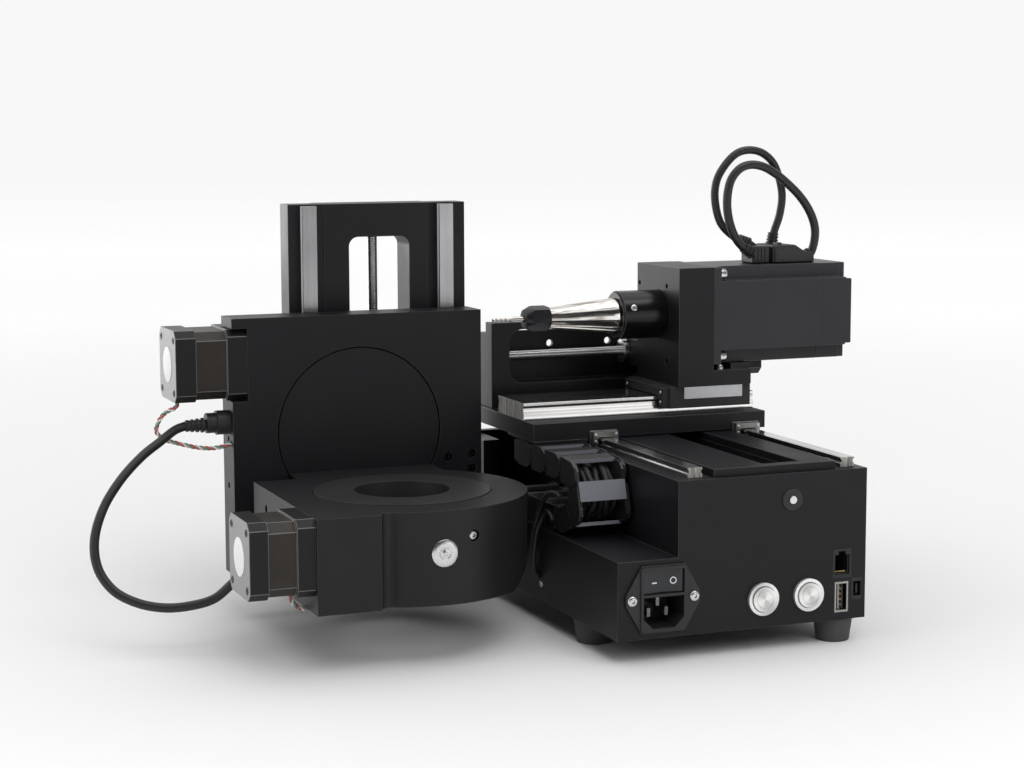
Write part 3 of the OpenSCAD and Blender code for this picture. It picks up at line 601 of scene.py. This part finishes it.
def plain_metal(name, tone, roughness):
    f = Finish(name, Metallic=1.0)
    smear = f.noise(1.6, 3)
    colour = f.blend(smear * 0.6, tone, tuple(c * 0.7 for c in tone))
    return f.feed(Base_Color=colour, Normal=f.bump(f.noise(0.25, 2), 0.004),
                  Roughness=roughness + smear * 0.15).material


def centre_of(node):
    low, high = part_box(node)
    return (low + high) / 2


def faced(name, centre):
    """Anodised after turning: the same black, over rings that the facing tool left."""
    f = Finish(name, IOR=1.52)
    rings = rings_about(f, centre, (1, 1, 0), 0.45)
    cloud = f.noise(24, 4)
    colour = f.blend(cloud * 0.7 + rings * 0.3,
                     (0.0110, 0.0104, 0.0114), (0.0240, 0.0230, 0.0250))
    return f.feed(Base_Color=colour, Normal=f.bump(rings, 0.008),
                  Roughness=0.34 + rings * 0.08 + cloud * 0.06).material


button_middles = [centre_of("left_button"), centre_of("right_button")]
spun_buttons = [spun(f"spun_button_{i}", c) for i, c in enumerate(button_middles)]
black_faced = faced("black_faced_table", centre_of("b_table"))
nickel = plain_metal("nickel_shell", (0.40, 0.39, 0.37), 0.28)
gold = plain_metal("gilt_contact", (0.83, 0.60, 0.24), 0.2)
bronze = plain_metal("nut_bronze", (0.50, 0.33, 0.13), 0.3)
black_oxide = plain_metal("black_oxide_steel", (0.055, 0.055, 0.060), 0.3)
satin_plate = plain_metal("bare_name_strip", (0.55, 0.555, 0.57), 0.36)
bare_bell = plain_metal("bare_cast_bell", (0.36, 0.36, 0.36), 0.48)
dull_nickel = plain_metal("dull_nickel", (0.26, 0.25, 0.24), 0.4)
bearing_steel = plain_metal("oiled_bearing_steel", (0.30, 0.295, 0.285), 0.38)
dark_port = moulded("dark_port_frame", (0.010, 0.010, 0.011), 0.4, 0.4, 0.01)
print("small metals ready; button centres:",
      [[round(v, 3) for v in c] for c in button_middles])

# %% [markdown]
# A machined plate never has a razor edge: each one is broken by a small chamfer that catches
# the light as a thin bright line. The CAD solids are sharp, so each big piece is copied, its
# flat faces are merged back into whole faces, and a Bevel modifier breaks every edge. The
# copy then stands for its CAD node, which stays as it is for the simulation.

# %% Copies with broken edges
body_of_node = {n: body for body, members in frame["record"]["behaviour"]["bodies"].items()
                for n in members}
slot_of_node = {s["node"]: s["material_slot"] for s in frame["record"]["subparts"]}
# The chamfers' finishes are paler than the faces: partly worn film, partly a painted highlight
# of the thin bright line they catch.
chamfer_wear_and_highlight = anodised("chamfer_worn_and_painted_highlight", (0.022, 0.022, 0.025), 0.32, 0.3)
bell_chamfer_wear_and_highlight = anodised("bell_chamfer_worn_and_painted_highlight", (0.075, 0.075, 0.075), 0.34, 0.3)
# Near black for the tilting disc's chamfers: painted shade, so that the groove round the disc
# reads dark.
painted_groove_shade = anodised("painted_groove_shade", (0.0015, 0.0015, 0.0016), 0.7, 0)
WELD = 2e-6
FLAT, SMOOTH_TO, BREAK_FROM = (math.radians(angle) for angle in (0.3, 31, 32))
made = []


def stand_in(piece, node):
    """Put a piece in the place of its CAD node."""
    made.append(put(piece, body_of_node[node], slot_of_node[node], node))


def copied(node, *finishes):
    """A clean copy of a CAD node: corners welded, flat faces whole again."""
    mesh = nodes[node].data.copy()
    mesh.name = f"{node}_piece"
    mesh.materials.clear()
    for finish in finishes:
        mesh.materials.append(finish)
    bm = bmesh.new()
    bm.from_mesh(mesh)
    bmesh.ops.remove_doubles(bm, verts=bm.verts, dist=WELD)
    bmesh.ops.dissolve_limit(bm, angle_limit=FLAT, verts=bm.verts, edges=bm.edges)
    for face in bm.faces:
        face.smooth = True
        face.material_index = 0
    for edge in bm.edges:
        edge.smooth = not edge.is_manifold or edge.calc_face_angle(0) < SMOOTH_TO
    bm.to_mesh(mesh)
    bm.free()
    return bpy.data.objects.new(f"{node}_piece", mesh)


def machined(node, width, *finishes, edge=None, segments=2):
    """Copy a CAD node and break its edges by width millimetres."""
    piece = copied(node, *finishes, edge or finishes[0])
    bevel = piece.modifiers.new("broken edges", "BEVEL")
    bevel.width, bevel.segments = width * MM, segments
    bevel.limit_method, bevel.angle_limit = "ANGLE", BREAK_FROM
    bevel.use_clamp_overlap = True
    bevel.harden_normals = True
    bevel.material = len(finishes) if edge else -1
    stand_in(piece, node)
    return piece


for node, width, finish in (
        ("base_housing", 0.35, black_plate), ("top_plate", 0.3, black_plate),
        ("column_plate", 0.35, black_plate), ("x_plate", 0.3, black_plate),
        ("z_wall", 0.35, black_plate), ("y_carriage", 0.3, black_plate),
        ("b_housing", 0.4, black_casting), ("head_block", 0.4, black_plate),
        ("spindle_housing", 0.3, black_turned), ("spindle_motor", 0.35, spindle_paint),
        ("motor_end_cap", 0.6, spindle_paint), ("chain_bracket", 0.25, black_plate)):
    machined(node, width, finish, edge=chamfer_wear_and_highlight)
# The disc's chamfers take the painted groove shade.
machined("a_disc", 0.5, black_plate, edge=painted_groove_shade, segments=1)
machined("b_table", 0.2, black_faced)
print("pieces with broken edges:", len(made))

# %% [markdown]
# Each stepper is one solid in CAD, with end bells and a recessed stack between them. Its
# faces get their finish by where they lie along the motor: laminations in the middle, black
# bells at both ends and bare metal on the far face.

# %% Steppers: bells and laminations


def stepper(node, axis, low, high, far):
    """Paint a stepper: bare steel lies from low to high along its axis, its bare end at far."""
    piece = machined(node, 0.3, motor_paint, laminations, bare_bell, edge=bell_chamfer_wear_and_highlight)
    low, high, far = (row(v, v, v)[axis] for v in (low, high, far))
    for face in piece.data.polygons:
        if abs(face.normal[axis]) > FACING:
            if abs(face.center[axis] - far) < 0.1 * MM:
                face.material_index = 2
        elif low < face.center[axis] < high:
            face.material_index = 1


steppers = (("a_motor", 0, -186.5, -168.2, -199), ("b_motor", 0, -184.9, -169.3, -195.5),
            ("z_motor", 0, 168.8, 182.5, 191.8), ("x_motor", 1, 257.5, 272.1, 282),
            ("y_motor", 2, 20, 34, 15))
for motor in steppers:
    stepper(*motor)
print("steppers:", len(steppers))

# %% [markdown]
# The smaller pieces get the same treatment with narrower edges. Three of them are one solid
# in CAD and get two finishes: the chain's crossbars are paler on their front faces, a painted
# reflection of a soft box on the glossy bars; of the three ports only the tall one has a nickel
# shell; and the round insert is bright only on its raised middle. Their faces are told apart by
# where they lie.

# %% Smaller pieces with broken edges
for node, width, finish in (
        ("z_bearing", 0.3, cover_paint), ("x_bearings", 0.25, bearing_steel),
        ("y_bearings", 0.25, bearing_steel), ("x_rails", 0.15, ground_y),
        ("y_rails", 0.15, ground_z), ("z_rail", 0.25, ground_x), ("feet", 0.8, rubber),
        ("base_cover", 0.2, cover_paint), ("power_inlet", 0.3, plastic),
        ("power_rocker", 0.3, gloss), ("button_bezels", 0.35, spun_buttons[0]),
        ("left_button", 0.3, spun_buttons[0]), ("right_button", 0.3, spun_buttons[1]),
        ("motor_connectors", 1.2, plastic), ("cable_plug", 0.4, plastic),
        ("b_gland", 0.4, plastic), ("name_strip", 0.12, satin_plate), ("x_nut", 0.3, bronze),
        ("y_nut", 0.3, bronze), ("z_nut", 0.3, bright_screw),
        ("spindle_nose", 0.15, turned_nose)):
    machined(node, width, finish)
print("pieces so far:", len(made), "of", len(nodes))

# %% Pieces with two finishes
CHAIN_X, BAR_HALF = 18.5, 12
SHELL_TOP, SHELL_RIGHT = 37, 146.2
RAISED_Y = -1.5


def repaint(piece, wanted):
    """Give the second finish to the faces whose middle, in shop millimetres, is wanted."""
    for face in piece.data.polygons:
        face.material_index = int(wanted(face.center / MM + MIDDLE, face.normal))


# Only the crossbars' front faces take the paler finish: a painted reflection.
repaint(machined("drag_chain", 0.3, chain_plastic, crossbar_painted_reflection),
        lambda at, normal: abs(at.x - CHAIN_X) < BAR_HALF and normal.y < -0.5)
repaint(machined("io_ports", 0.1, nickel, dark_port),
        lambda at, normal: at.z > SHELL_TOP or at.x > SHELL_RIGHT)
repaint(machined("screw_insert", 0.4, dark_port, bright_screw),
        lambda at, normal: at.y < RAISED_Y)
print("pieces so far:", len(made), "of", len(nodes))

# %% [markdown]
# Screws, pads and knobs are all turned shapes: an outline that goes round an axis. One helper
# adds such a shape to a mesh. Each step of the outline is a distance from the axis, a height
# along it, and how hexagonal it is there, so that the same helper makes a round screw head,
# the hexagon socket in its top, and a hexagon nut whose corners are turned off.

# %% Turned shapes
SIXTH = math.pi / 3
FRONT, LEFT, RIGHT, UP = (0, -1, 0), (-1, 0, 0), (1, 0, 0), (0, 0, 1)


def lathe(bm, centre, axis, rings):
    """Skin rings about an axis: each is a height and the radius at every point round it."""
    axis = Vector(axis).normalized()
    u = axis.orthogonal().normalized()
    v = axis.cross(u)
    skin(bm, [[bm.verts.new(centre + (axis * height + spoke(u, v, turn) * radius) * MM)
               for turn, radius in zip(around(len(radii)), radii)] for height, radii in rings])


def hexagon(turn):
    """How far a hexagon of corner distance 1 reaches at an angle."""
    return math.cos(SIXTH / 2) / math.cos((turn + SIXTH / 2) % SIXTH - SIXTH / 2)


def turned(bm, centre, axis, outline, sides=24):
    """Add outline steps (radius, height, hexagonal share) about an axis, in millimetres."""
    lathe(bm, centre, axis, [
        (height, [radius * (1 - share + share * hexagon(turn)) for turn in around(sides)])
        for radius, height, share in outline])


print("across its flats a hexagon is", round(hexagon(0), 3), "of its width over corners")

# %% Screw heads


def dome_screw(radius, height, socket=0.5):
    """Outline of a button head with a hexagon socket, from the seat to the socket's floor."""
    return [(radius, 0, 0), (radius, 0.35 * height, 0), (0.93 * radius, 0.62 * height, 0),
            (0.78 * radius, 0.86 * height, 0), (0.62 * radius, height, 0),
            (1.06 * socket * radius, height, 1), (socket * radius, 0.94 * height, 1),
            (socket * radius, 0.25 * height, 1), (0.02 * radius, 0.2 * height, 0)]


def cap_screw(radius, height, socket=0.52):
    """Outline of a cylindrical head with a hexagon socket."""
    return [(radius, 0, 0), (radius, 0.86 * height, 0), (0.9 * radius, height, 0),
            (1.06 * socket * radius, height, 1), (socket * radius, 0.94 * height, 1),
            (socket * radius, 0.35 * height, 1), (0.02 * radius, 0.3 * height, 0)]


print("a button head has", len(dome_screw(3, 3)), "steps, a cap screw", len(cap_screw(3, 3)))

# %% Turned pieces


def sharp(piece, degrees=35):
    """Smooth shading that stops at edges sharper than the angle."""
    mesh = piece.data
    bm = bmesh.new()
    bm.from_mesh(mesh)
    for face in bm.faces:
        face.smooth = True
    for edge in bm.edges:
        edge.smooth = edge.is_manifold and edge.calc_face_angle(0) < math.radians(degrees)
    bm.to_mesh(mesh)
    bm.free()
    return piece


def turned_piece(name, body, slot_name, finish, shapes, stands_for=(), sides=24):
    """One piece made of turned shapes, each a (centre, axis, outline)."""
    bm = bmesh.new()
    for centre, axis, outline in shapes:
        turned(bm, centre, axis, outline, sides)
    return put(sharp(piece_from(bm, name, finish)), body, slot_name, *stands_for)


def bright_screws(name, body, shapes, *stands_for):
    """Bright screws that move together, as one piece."""
    turned_piece(name, body, "bright_steel", bright_screw, shapes, stands_for)
    print(name, "has", len(shapes))


# %% [markdown]
# The screws that show: four cap screws in the corners of the spindle motor, two button heads
# on the foot of the head block, two in the column's foot and one in the base's left side, and
# the dome and the set screw on the rotary housing. They take the places of the plain CAD ones.

# %% Screws that stand for CAD nodes
SPINDLE_Y, SPINDLE_Z = 163.7, 176.2
TABLE_X, TABLE_Y, HOUSING_RADIUS = -87.5, 104.8, 70.8
corners = [(a, b) for a in (-1, 1) for b in (-1, 1)]
bright_screws("head_screw_set", "head", [
    (row(130.9, SPINDLE_Y + 25.4 * a, SPINDLE_Z + 25.4 * b), RIGHT, cap_screw(3.35, 4.4))
    for a, b in corners] + [
    (row(132.5, y, 142.5), UP, dome_screw(3, 3.1)) for y in (139.7, 185.7)], "head_screws")
bright_screws("case_screw_set", "base", [(row(0, 108, 24.5), LEFT, dome_screw(2.2, 0.8))] + [
    (row(x, 212.6, 21), FRONT, dome_screw(2.6, 1.6)) for x in (-118.3, -12.5)], "case_screws")
turn = math.radians(14.5)
outward = Vector((math.sin(turn), -math.cos(turn), 0))
set_screw = row(TABLE_X, TABLE_Y, 72) + outward * (HOUSING_RADIUS - 1.7) * MM
dome = [(7.6, -0.02, 0), (7.6, 0.3, 0), (7.0, 0.75, 0), (5.2, 0.88, 0), (3.4, 0.88, 0),
        (3.0, 0.6, 0), (1.4, 0.6, 0), (1.1, 0.8, 0), (0.03, 0.85, 0)]
bright_screws("housing_screw_set", "tilt_table", [
    (row(TABLE_X, 33.32, 64), FRONT, dome), (set_screw, outward, dome_screw(2.9, 1.7))],
    "housing_screws")

# %% [markdown]
# The power inlet has three flat contacts in its hooded socket, and two screws hold its
# flange. A contact could be a cube that is scaled as an object, but a cube made at its final
# size inside the mesh leaves the piece's own scale at one.

# %% Contacts and screws of the power inlet


def bar_into(bm, low, high):
    """Add a plain bar between two corners in shop millimetres."""
    low, high = row(*low), row(*high)
    bmesh.ops.create_cube(
        bm, size=1, matrix=Matrix.LocRotScale((low + high) / 2, None, high - low))


pins = bmesh.new()
INLET_X, INLET_Z = 26.8, 36.3
for x, z, tall in ((-5.4, 25, 4.8), (0, 30.8, 4.6), (5.4, 25, 4.8)):
    bar_into(pins, (INLET_X + x - 1, 6, z), (INLET_X + x + 1, 19, z + tall))
put(piece_from(pins, "inlet_contacts", dull_nickel), "base", "bright_steel", "inlet_pins")
bright_screws("inlet_screws", "base", [
    (row(INLET_X + x, -1.6, INLET_Z), FRONT, dome_screw(3, 1.55, 0.42)) for x in (-18.8, 18.8)])

# %% [markdown]
# More small screws show on other pieces: in the end seals of the bearing blocks, in the deep
# holes of the table carriage, and as recessed screws in the motors' bare ends, round the pad.

# %% Screws in the bearings, the carriage and the motors
seal_screws = [(row(x + a, 126, z), FRONT, dome_screw(1.05, 0.55, 0.45))
               for x in (49.7, 146) for a in (-6.7, 6.7) for z in (103.9, 108)]
seal_screws += [(row(93.7, y, z), LEFT, dome_screw(1.15, 0.6, 0.45))
                for y in (142.5, 191.5) for z in (123.4, 129.4)]
bright_screws("bearing_seal_screws", "spindle_carriage", seal_screws[:8])
bright_screws("head_bearing_screws", "head", seal_screws[8:])
turned_piece("carriage_cap_screws", "table_carriage", "black_anodised", black_oxide,
             [(row(x, 188.3, z), FRONT, cap_screw(2.75, 3.6)) for x, z in (
                 (-31.3, 91.4), (-16.2, 92.4), (-16.2, 83))])
pad = [(10.6, 0, 0), (10.6, 0.3, 0), (10.2, 0.45, 0), (0.05, 0.45, 0)]
for name, body, middle, outward, square in (
        ("tilt_motor_end", "table_carriage", (-199, 204.55, 153.65), LEFT, 15.5),
        ("turn_motor_end", "tilt_table", (-195.5, 57.15, 66.15), LEFT, 15.5),
        ("cross_motor_end", "spindle_carriage", (191.8, 212, 148.2), RIGHT, 13)):
    centre = row(*middle)
    if outward == LEFT:
        turned_piece(f"{name}_pad", body, "motor_black", white_pad,
                     [(centre, outward, pad)], sides=48)
    turned_piece(f"{name}_screws", body, "motor_black", black_oxide,
                 [(centre + Vector((0, a, b)) * square * MM, outward, cap_screw(2.1, 0.35))
                  for a, b in corners])
print("corner screws on each motor end:", len(corners))

# %% [markdown]
# A lead screw's thread is a ridge that climbs as it winds. The rod is a grid of points: one
# direction goes round it, the other along it, and each point sinks by the thread's depth
# times a trapezium wave of "how far along, minus how far round". These are fine rolled threads
# with ridges a millimetre apart. The CAD keeps plain rods of the outer diameter.

# %% Lead screws with threads


def thread(name, start, end, radius=3.15, pitch=1, depth=0.16, valley=0.75, flank=0.4,
           sides=16, per_ridge=6):
    """A threaded rod from start to end (frame points); the ridges fade in over a pitch."""
    length = run_of([start, end])
    steps = int(length / pitch * per_ridge)
    rings = []
    for i in range(steps + 1):
        s = length * i / steps
        fade = min(1, s / pitch, (length - s) / pitch)
        waves = [abs((s / pitch - k / sides) % 1 - 0.5) * 2 for k in range(sides)]
        rings.append((s, [radius - depth * fade * min(1, max(0, (valley - wave) / flank))
                          for wave in waves]))
    bm = bmesh.new()
    lathe(bm, start, end - start, rings)
    print(name, "runs", round(length), "mm")
    return piece_from(bm, name, rod_steel)


for node, start, end in (
        ("x_screw", (107.1, 2.4, 85.5), (107.1, 264, 85.5)),
        ("y_screw", (-64.5, 226, 25), (-64.5, 226, 235.6)),
        ("z_screw", (8.3, 212, 148.2), (175.8, 212, 148.2))):
    stand_in(thread(f"{node}_rod", row(*start), row(*end)), node)

# %% [markdown]
# The tool end: a hexagon collet nut with turned-off corners holds the cutter. The cutter's
# shank is round, and its tip has two flutes that wind round it: the outline of each slice is
# a circle with two bites, and each slice turns a little further than the last.

# %% Collet nut and cutter
nut_bm = bmesh.new()
turned(nut_bm, row(27.3, SPINDLE_Y, SPINDLE_Z), LEFT, [
    (5.9, 0, 0), (6.9, 0, 0), (7.6, 0.9, 0.6), (7.95, 1.6, 1), (7.95, 10.6, 1), (7.6, 12, 0.7),
    (6.4, 14.2, 0), (5.6, 15.8, 0), (2.3, 15.9, 0), (1.7, 15.2, 0), (1.66, 4, 0)], 48)
stand_in(sharp(piece_from(nut_bm, "collet_nut_piece", black_oxide), 28), "collet_nut")
SHANK_RADIUS = 1.5875
FLUTE_TURNS, FLUTE_BITE = 1.9, 0.35


def fluted(name, start, length, radius, sides=24, slices=40):
    """A cutter along +X: two wound flutes over a length, and the shank behind them."""
    bm = bmesh.new()
    rings = []
    for i in range(slices + 1):
        share, ring = i / slices, []
        for angle in around(sides):
            bite = max(0, math.cos(2 * angle)) ** 1.5 * FLUTE_BITE
            turn = angle + 2 * math.pi * FLUTE_TURNS * share
            side = Vector((0, math.cos(turn), math.sin(turn))) * radius * (1 - bite)
            ring.append(bm.verts.new(start + (Vector((length * share, 0, 0)) + side) * MM))
        rings.append(ring)
    skin(bm, rings)
    turned(bm, start + Vector((length * MM, 0, 0)), RIGHT, [
        (0.88, -0.4, 0), (radius, 0, 0), (SHANK_RADIUS, 2.5, 0), (SHANK_RADIUS, 22, 0),
        (1.2, 22.4, 0)])
    return piece_from(bm, name, turned_nose)


tool = sharp(fluted("end_mill", row(-9, SPINDLE_Y, SPINDLE_Z), 11, 0.9), 40)
stand_in(tool, "cutter")
bright_screws("cartridge_screw", "head", [
    (row(79, 149.6, 181.6), (0, -0.93, 0.37), dome_screw(2.2, 1.0))])
print("the cutter's points:", len(tool.data.vertices))

# %% [markdown]
# Inside the drag chain lie the wires of the spindle and its switches. They are held in the
# chain, so they are one piece with its body. Their line follows the chain's own joints: along
# the ledge, round the bend of 15.5 mm radius and back under the spindle carriage. In the bend
# each link is a straight chord of the circle, so the wires lie about 4 mm further in there.

# %% Wires in the drag chain
BEND_Y, LOW_Z, HIGH_Z = 78.5, 65.9, 97.0
PRESSED_IN, WEAVE = 4.2, 0.9
RUN_STEP, TURN_STEP = 8, 12  # millimetres along the straights, degrees round the bend
bend_z, bend_r = (LOW_Z + HIGH_Z) / 2, (HIGH_Z - LOW_Z) / 2
chain_line = [(BEND_Y + 92 - RUN_STEP * k, LOW_Z) for k in range(12)]
for k in range(16):
    angle = math.radians(TURN_STEP * k)
    reach = bend_r - PRESSED_IN * min(1, 2 * math.sin(angle))
    chain_line.append((BEND_Y - reach * math.sin(angle), bend_z - reach * math.cos(angle)))
chain_line += [(BEND_Y + RUN_STEP * k, HIGH_Z) for k in range(1, 10)]
bm = bmesh.new()
for k, (x, radius, up) in enumerate(((7.2, 1.9, -0.4), (11.6, 1.5, 0.8), (15.6, 1.9, -0.3),
                                     (20.2, 1.6, 0.7), (24.4, 1.9, -0.3), (28.8, 1.5, 0.6))):
    line = [row(x + WEAVE * math.sin(0.5 * i + 2 * k), y, z)
            for i, (y, z) in enumerate(chain_line)]
    for i in range(1, len(line) - 1):
        (y0, z0), (y1, z1) = chain_line[i - 1], chain_line[i + 1]
        line[i] += Vector((0, z1 - z0, y0 - y1)).normalized() * up * MM
    tube_into(bm, line, radius * MM, 10)
put(piece_from(bm, "wires_in_the_chain", wire_jacket), "spindle_carriage", "cable_black")
print("each wire in the chain goes through", len(chain_line), "points")

# %% [markdown]
# The sockets on the front: a network jack with eight gilt springs, a USB port with its tongue,
# and a small port. The springs and tongues are what makes a dark hole read as a socket. The
# rocker switch carries the two marks that every such switch has, a dash and a ring.

# %% Sockets


def bars(name, body, slot_name, finish, boxes):
    """One piece made of plain bars, each given by two corners in shop millimetres."""
    bm = bmesh.new()
    for low, high in boxes:
        bar_into(bm, low, high)
    piece = piece_from(bm, name, finish)
    bevel = piece.modifiers.new("soft edges", "BEVEL")
    bevel.width, bevel.segments, bevel.limit_method = 0.06 * MM, 1, "ANGLE"
    return put(piece, body, slot_name)


bars("network_springs", "base", "polished_steel", gold,
     [((136.6 + 0.85 * k, 2.2, 41.2), (137.0 + 0.85 * k, 13, 41.8)) for k in range(8)])
bars("network_jack_lining", "base", "black_plastic", plastic,
     [((135.3, 1.2, 40.1), (135.9, 15.8, 51.3)), ((143.9, 1.2, 40.1), (144.5, 15.8, 51.3)),
      ((135.9, 14.5, 40.1), (143.9, 15.8, 51.3)), ((135.9, 1.2, 40.1), (143.9, 15.8, 40.7))])
bars("usb_tongue", "base", "black_plastic", plastic,
     [((140.3, 1.6, 20.2), (141.4, 14.8, 34.0))])
bars("usb_contacts", "base", "polished_steel", gold,
     [((140.15, 1.9, 21.6 + 3.1 * k), (140.35, 9, 22.8 + 3.1 * k)) for k in range(4)])
bars("small_port_tongue", "base", "black_plastic", plastic,
     [((149.2, 0.8, 28.4), (150.3, 7.8, 34))])
print("the sockets are dressed; gilt contacts: 8 and 4")

# %% Marks of the switch
ROCKER_FRONT, ROCKER_DIP, ROCKER_HALF = -1.28, 1.4, 11.8


def mark_of(name, points, width, closed):
    """A thin raised line on the rocker's face, as printed marks are."""
    bm = bmesh.new()
    inner, outer = [], []
    last = len(points) - 1
    for i, (x, z) in enumerate(points):
        before = points[i - 1 if closed else max(i - 1, 0)]
        after = points[(i + 1) % len(points) if closed else min(i + 1, last)]
        way = Vector((after[0] - before[0], 0, after[1] - before[1])).normalized()
        side = Vector((way.z, 0, -way.x)) * width / 2
        depth = ROCKER_FRONT + ROCKER_DIP * max(0, 1 - abs(x - INLET_X) / ROCKER_HALF)
        for ring, sign in ((inner, -1), (outer, 1)):
            ring.append(bm.verts.new(row(x + sign * side.x, depth, z + sign * side.z)))
    for i in range(len(points) if closed else last):
        n = (i + 1) % len(points)
        bm.faces.new((inner[i], inner[n], outer[n], outer[i]))
    piece = piece_from(bm, name, pale_print)
    piece.modifiers.new("ink", "SOLIDIFY").thickness = 0.06 * MM
    put(piece, "rocker", "gloss_black")


RING_RADIUS = 1.7
ring_points = [(INLET_X + 6.4 + RING_RADIUS * math.cos(t),
                INLET_Z + 9.6 + RING_RADIUS * math.sin(t)) for t in around(24)]
mark_of("switch_ring", ring_points, 0.55, True)
mark_of("switch_dash", [(INLET_X + x, INLET_Z + 8.8) for x in (-6.4, -3.4)], 0.7, False)
print("the ring has", len(ring_points), "points")

# %% [markdown]
# The cable connectors on the spindle motor are boots with ribs, so that the cable can't be
# bent sharply where it leaves, and latches that hold the two shells on the motor.

# %% Connector boots and latches
ribs = [(4.0, 0, 0), (4.0, 1.5, 0)]
for k in range(3):
    ribs += [(3.1, 1.7 + 2 * k, 0), (3.1, 2.3 + 2 * k, 0), (3.8 - 0.2 * k, 2.5 + 2 * k, 0),
             (3.7 - 0.2 * k, 3.6 + 2 * k, 0)]
turned_piece("cable_boots", "head", "black_plastic", plastic, [
    (row(161.6, 158, 218.4), (-9, 0.6, 4.2), ribs),
    (row(161, 152.8, 213.2), (-6.4, -2, 3.4), ribs),
    (row(182, 165, 217), (0.15, 0, 1), ribs),
    (row(202.8, 158, 209.7), (3.4, 0, 2.4), ribs[:6])])
bars("connector_latches", "head", "black_plastic", plastic,
     [((175.2, 147.2, 207.2), (183, 148.2, 215.6)),
      ((176.6, 146.8, 208.8), (181.6, 147.4, 213.6)), ((178, 150, 217.4), (181, 156, 219.2))]
     + [((162 + 2.4 * k, 149.4, 207.6), (163.2 + 2.4 * k, 150.2, 215.8)) for k in range(4)])
print("a boot has", len(ribs), "steps")

# %% [markdown]
# The machine stands on a seamless pale sheet in a room of soft light. The floor is a wide
# disc whose rim fades away, and it glows a little more the further it lies from the lamps, so
# no horizon shows from any side. The sky is bright behind and dim where the camera stands,
# which keeps the front faces deep black. One very wide soft box overhead makes the soft
# shadow, with a second one above the front that makes no highlights, and a weak one fills in
# from the left. The other lamps only show as reflections: one behind at the left, which turns
# the left faces grey, and two at the front right, which give polished metal its streaks.

# %% Floor
FLOOR_RADIUS = 9
floor_mesh = bpy.data.meshes.new("floor")
bm = bmesh.new()
bmesh.ops.create_circle(bm, cap_ends=True, radius=FLOOR_RADIUS, segments=96)
bm.to_mesh(floor_mesh)
bm.free()
floor = show(bpy.data.objects.new("floor", floor_mesh))
paper = Finish("pale_paper", Roughness=0.9, IOR=1.3, Specular_IOR_Level=0.1,
               Emission_Strength=1.0)
lit = paper.node("MapRange", {
    "Value": paper.part(paper.place, "Y"), "From Min": -0.95, "From Max": -0.55})
paper_tone = paper.blend(paper.noise(400, 2), (0.66, 0.66, 0.66), (0.675, 0.675, 0.675))
far = paper.vector("LENGTH", paper.place, out="Value") * (1 / FLOOR_RADIUS)
glow = paper.ramp(far, (0.022, 0.0), (0.045, 0.07), (0.11, 0.20), (0.22, 0.42), (0.4, 0.55))
paper.feed(Base_Color=paper.blend(lit, (0.50, 0.50, 0.50), paper_tone),
           Normal=paper.bump(paper.noise(3, 3), 0.01), Emission_Color=glow,
           Alpha=paper.ramp(far, (0.3, 1), (0.97, 0)))
floor_mesh.materials.append(paper.material)
print("the floor is", 2 * FLOOR_RADIUS, "m wide")

# %% The room round it
world = bpy.data.worlds.new("soft room")
bpy.context.scene.world = world
world.use_nodes = True
SEEN_STRENGTH = 0.94
sky = Nodes(world.node_tree)
to_the_back = sky.part(sky.node("TexCoord", out="Generated"), "Y")
back_light = sky.node("MapRange", {
    "Value": to_the_back, "From Min": -0.7, "From Max": 0.35, "To Min": 0.06, "To Max": 0.95})
seen = sky.node("LightPath", out="Is Camera Ray")
strength = sky.node("Mix", {0: seen, 2: back_light, 3: SEEN_STRENGTH})
room = sky.tree.nodes["Background"]
sky.tree.links.new(strength.socket, room.inputs["Strength"])
room.inputs["Color"].default_value = (1, 1, 1, 1)
print("the room is seen at strength", SEEN_STRENGTH)

# %% Lamps


def lamp(name, place, target, size, watts, only_reflected=True):
    """A round soft box of a diameter in metres that faces a target."""
    data = bpy.data.lights.new(name, "AREA")
    data.shape, data.size, data.energy = "DISK", size, watts
    thing = show(bpy.data.objects.new(name, data))
    thing.location = place
    thing.rotation_euler = (Vector(target) - Vector(place)).to_track_quat("-Z", "Y").to_euler()
    thing.visible_camera = False
    thing.visible_diffuse = not only_reflected
    return thing


lamp("overhead", (0.15, -0.3, 2.2), (0, 0, 0.1), 3.2, 24, False)
front_top = lamp("front_top", (0.1, -1.9, 1.8), (0, 0, 0.1), 2.2, 42, False)
front_top.visible_glossy = False
lamp("left_wall", (-1.7, -0.25, 0.8), (0, 0, 0.12), 1.3, 5, False)
lamp("behind_left", (-0.8, 1.9, 0.5), (-0.1, 0, 0.12), 1.3, 14)
lamp("high_right", (0.62, -0.5, 1.45), (0, 0, 0.15), 0.5, 1.6)
lamp("low_right", (0.78, -1.45, 0.34), (0, 0, 0.12), 0.7, 1.6)
bpy.context.scene.view_settings.view_transform = "Standard"

# %% [markdown]
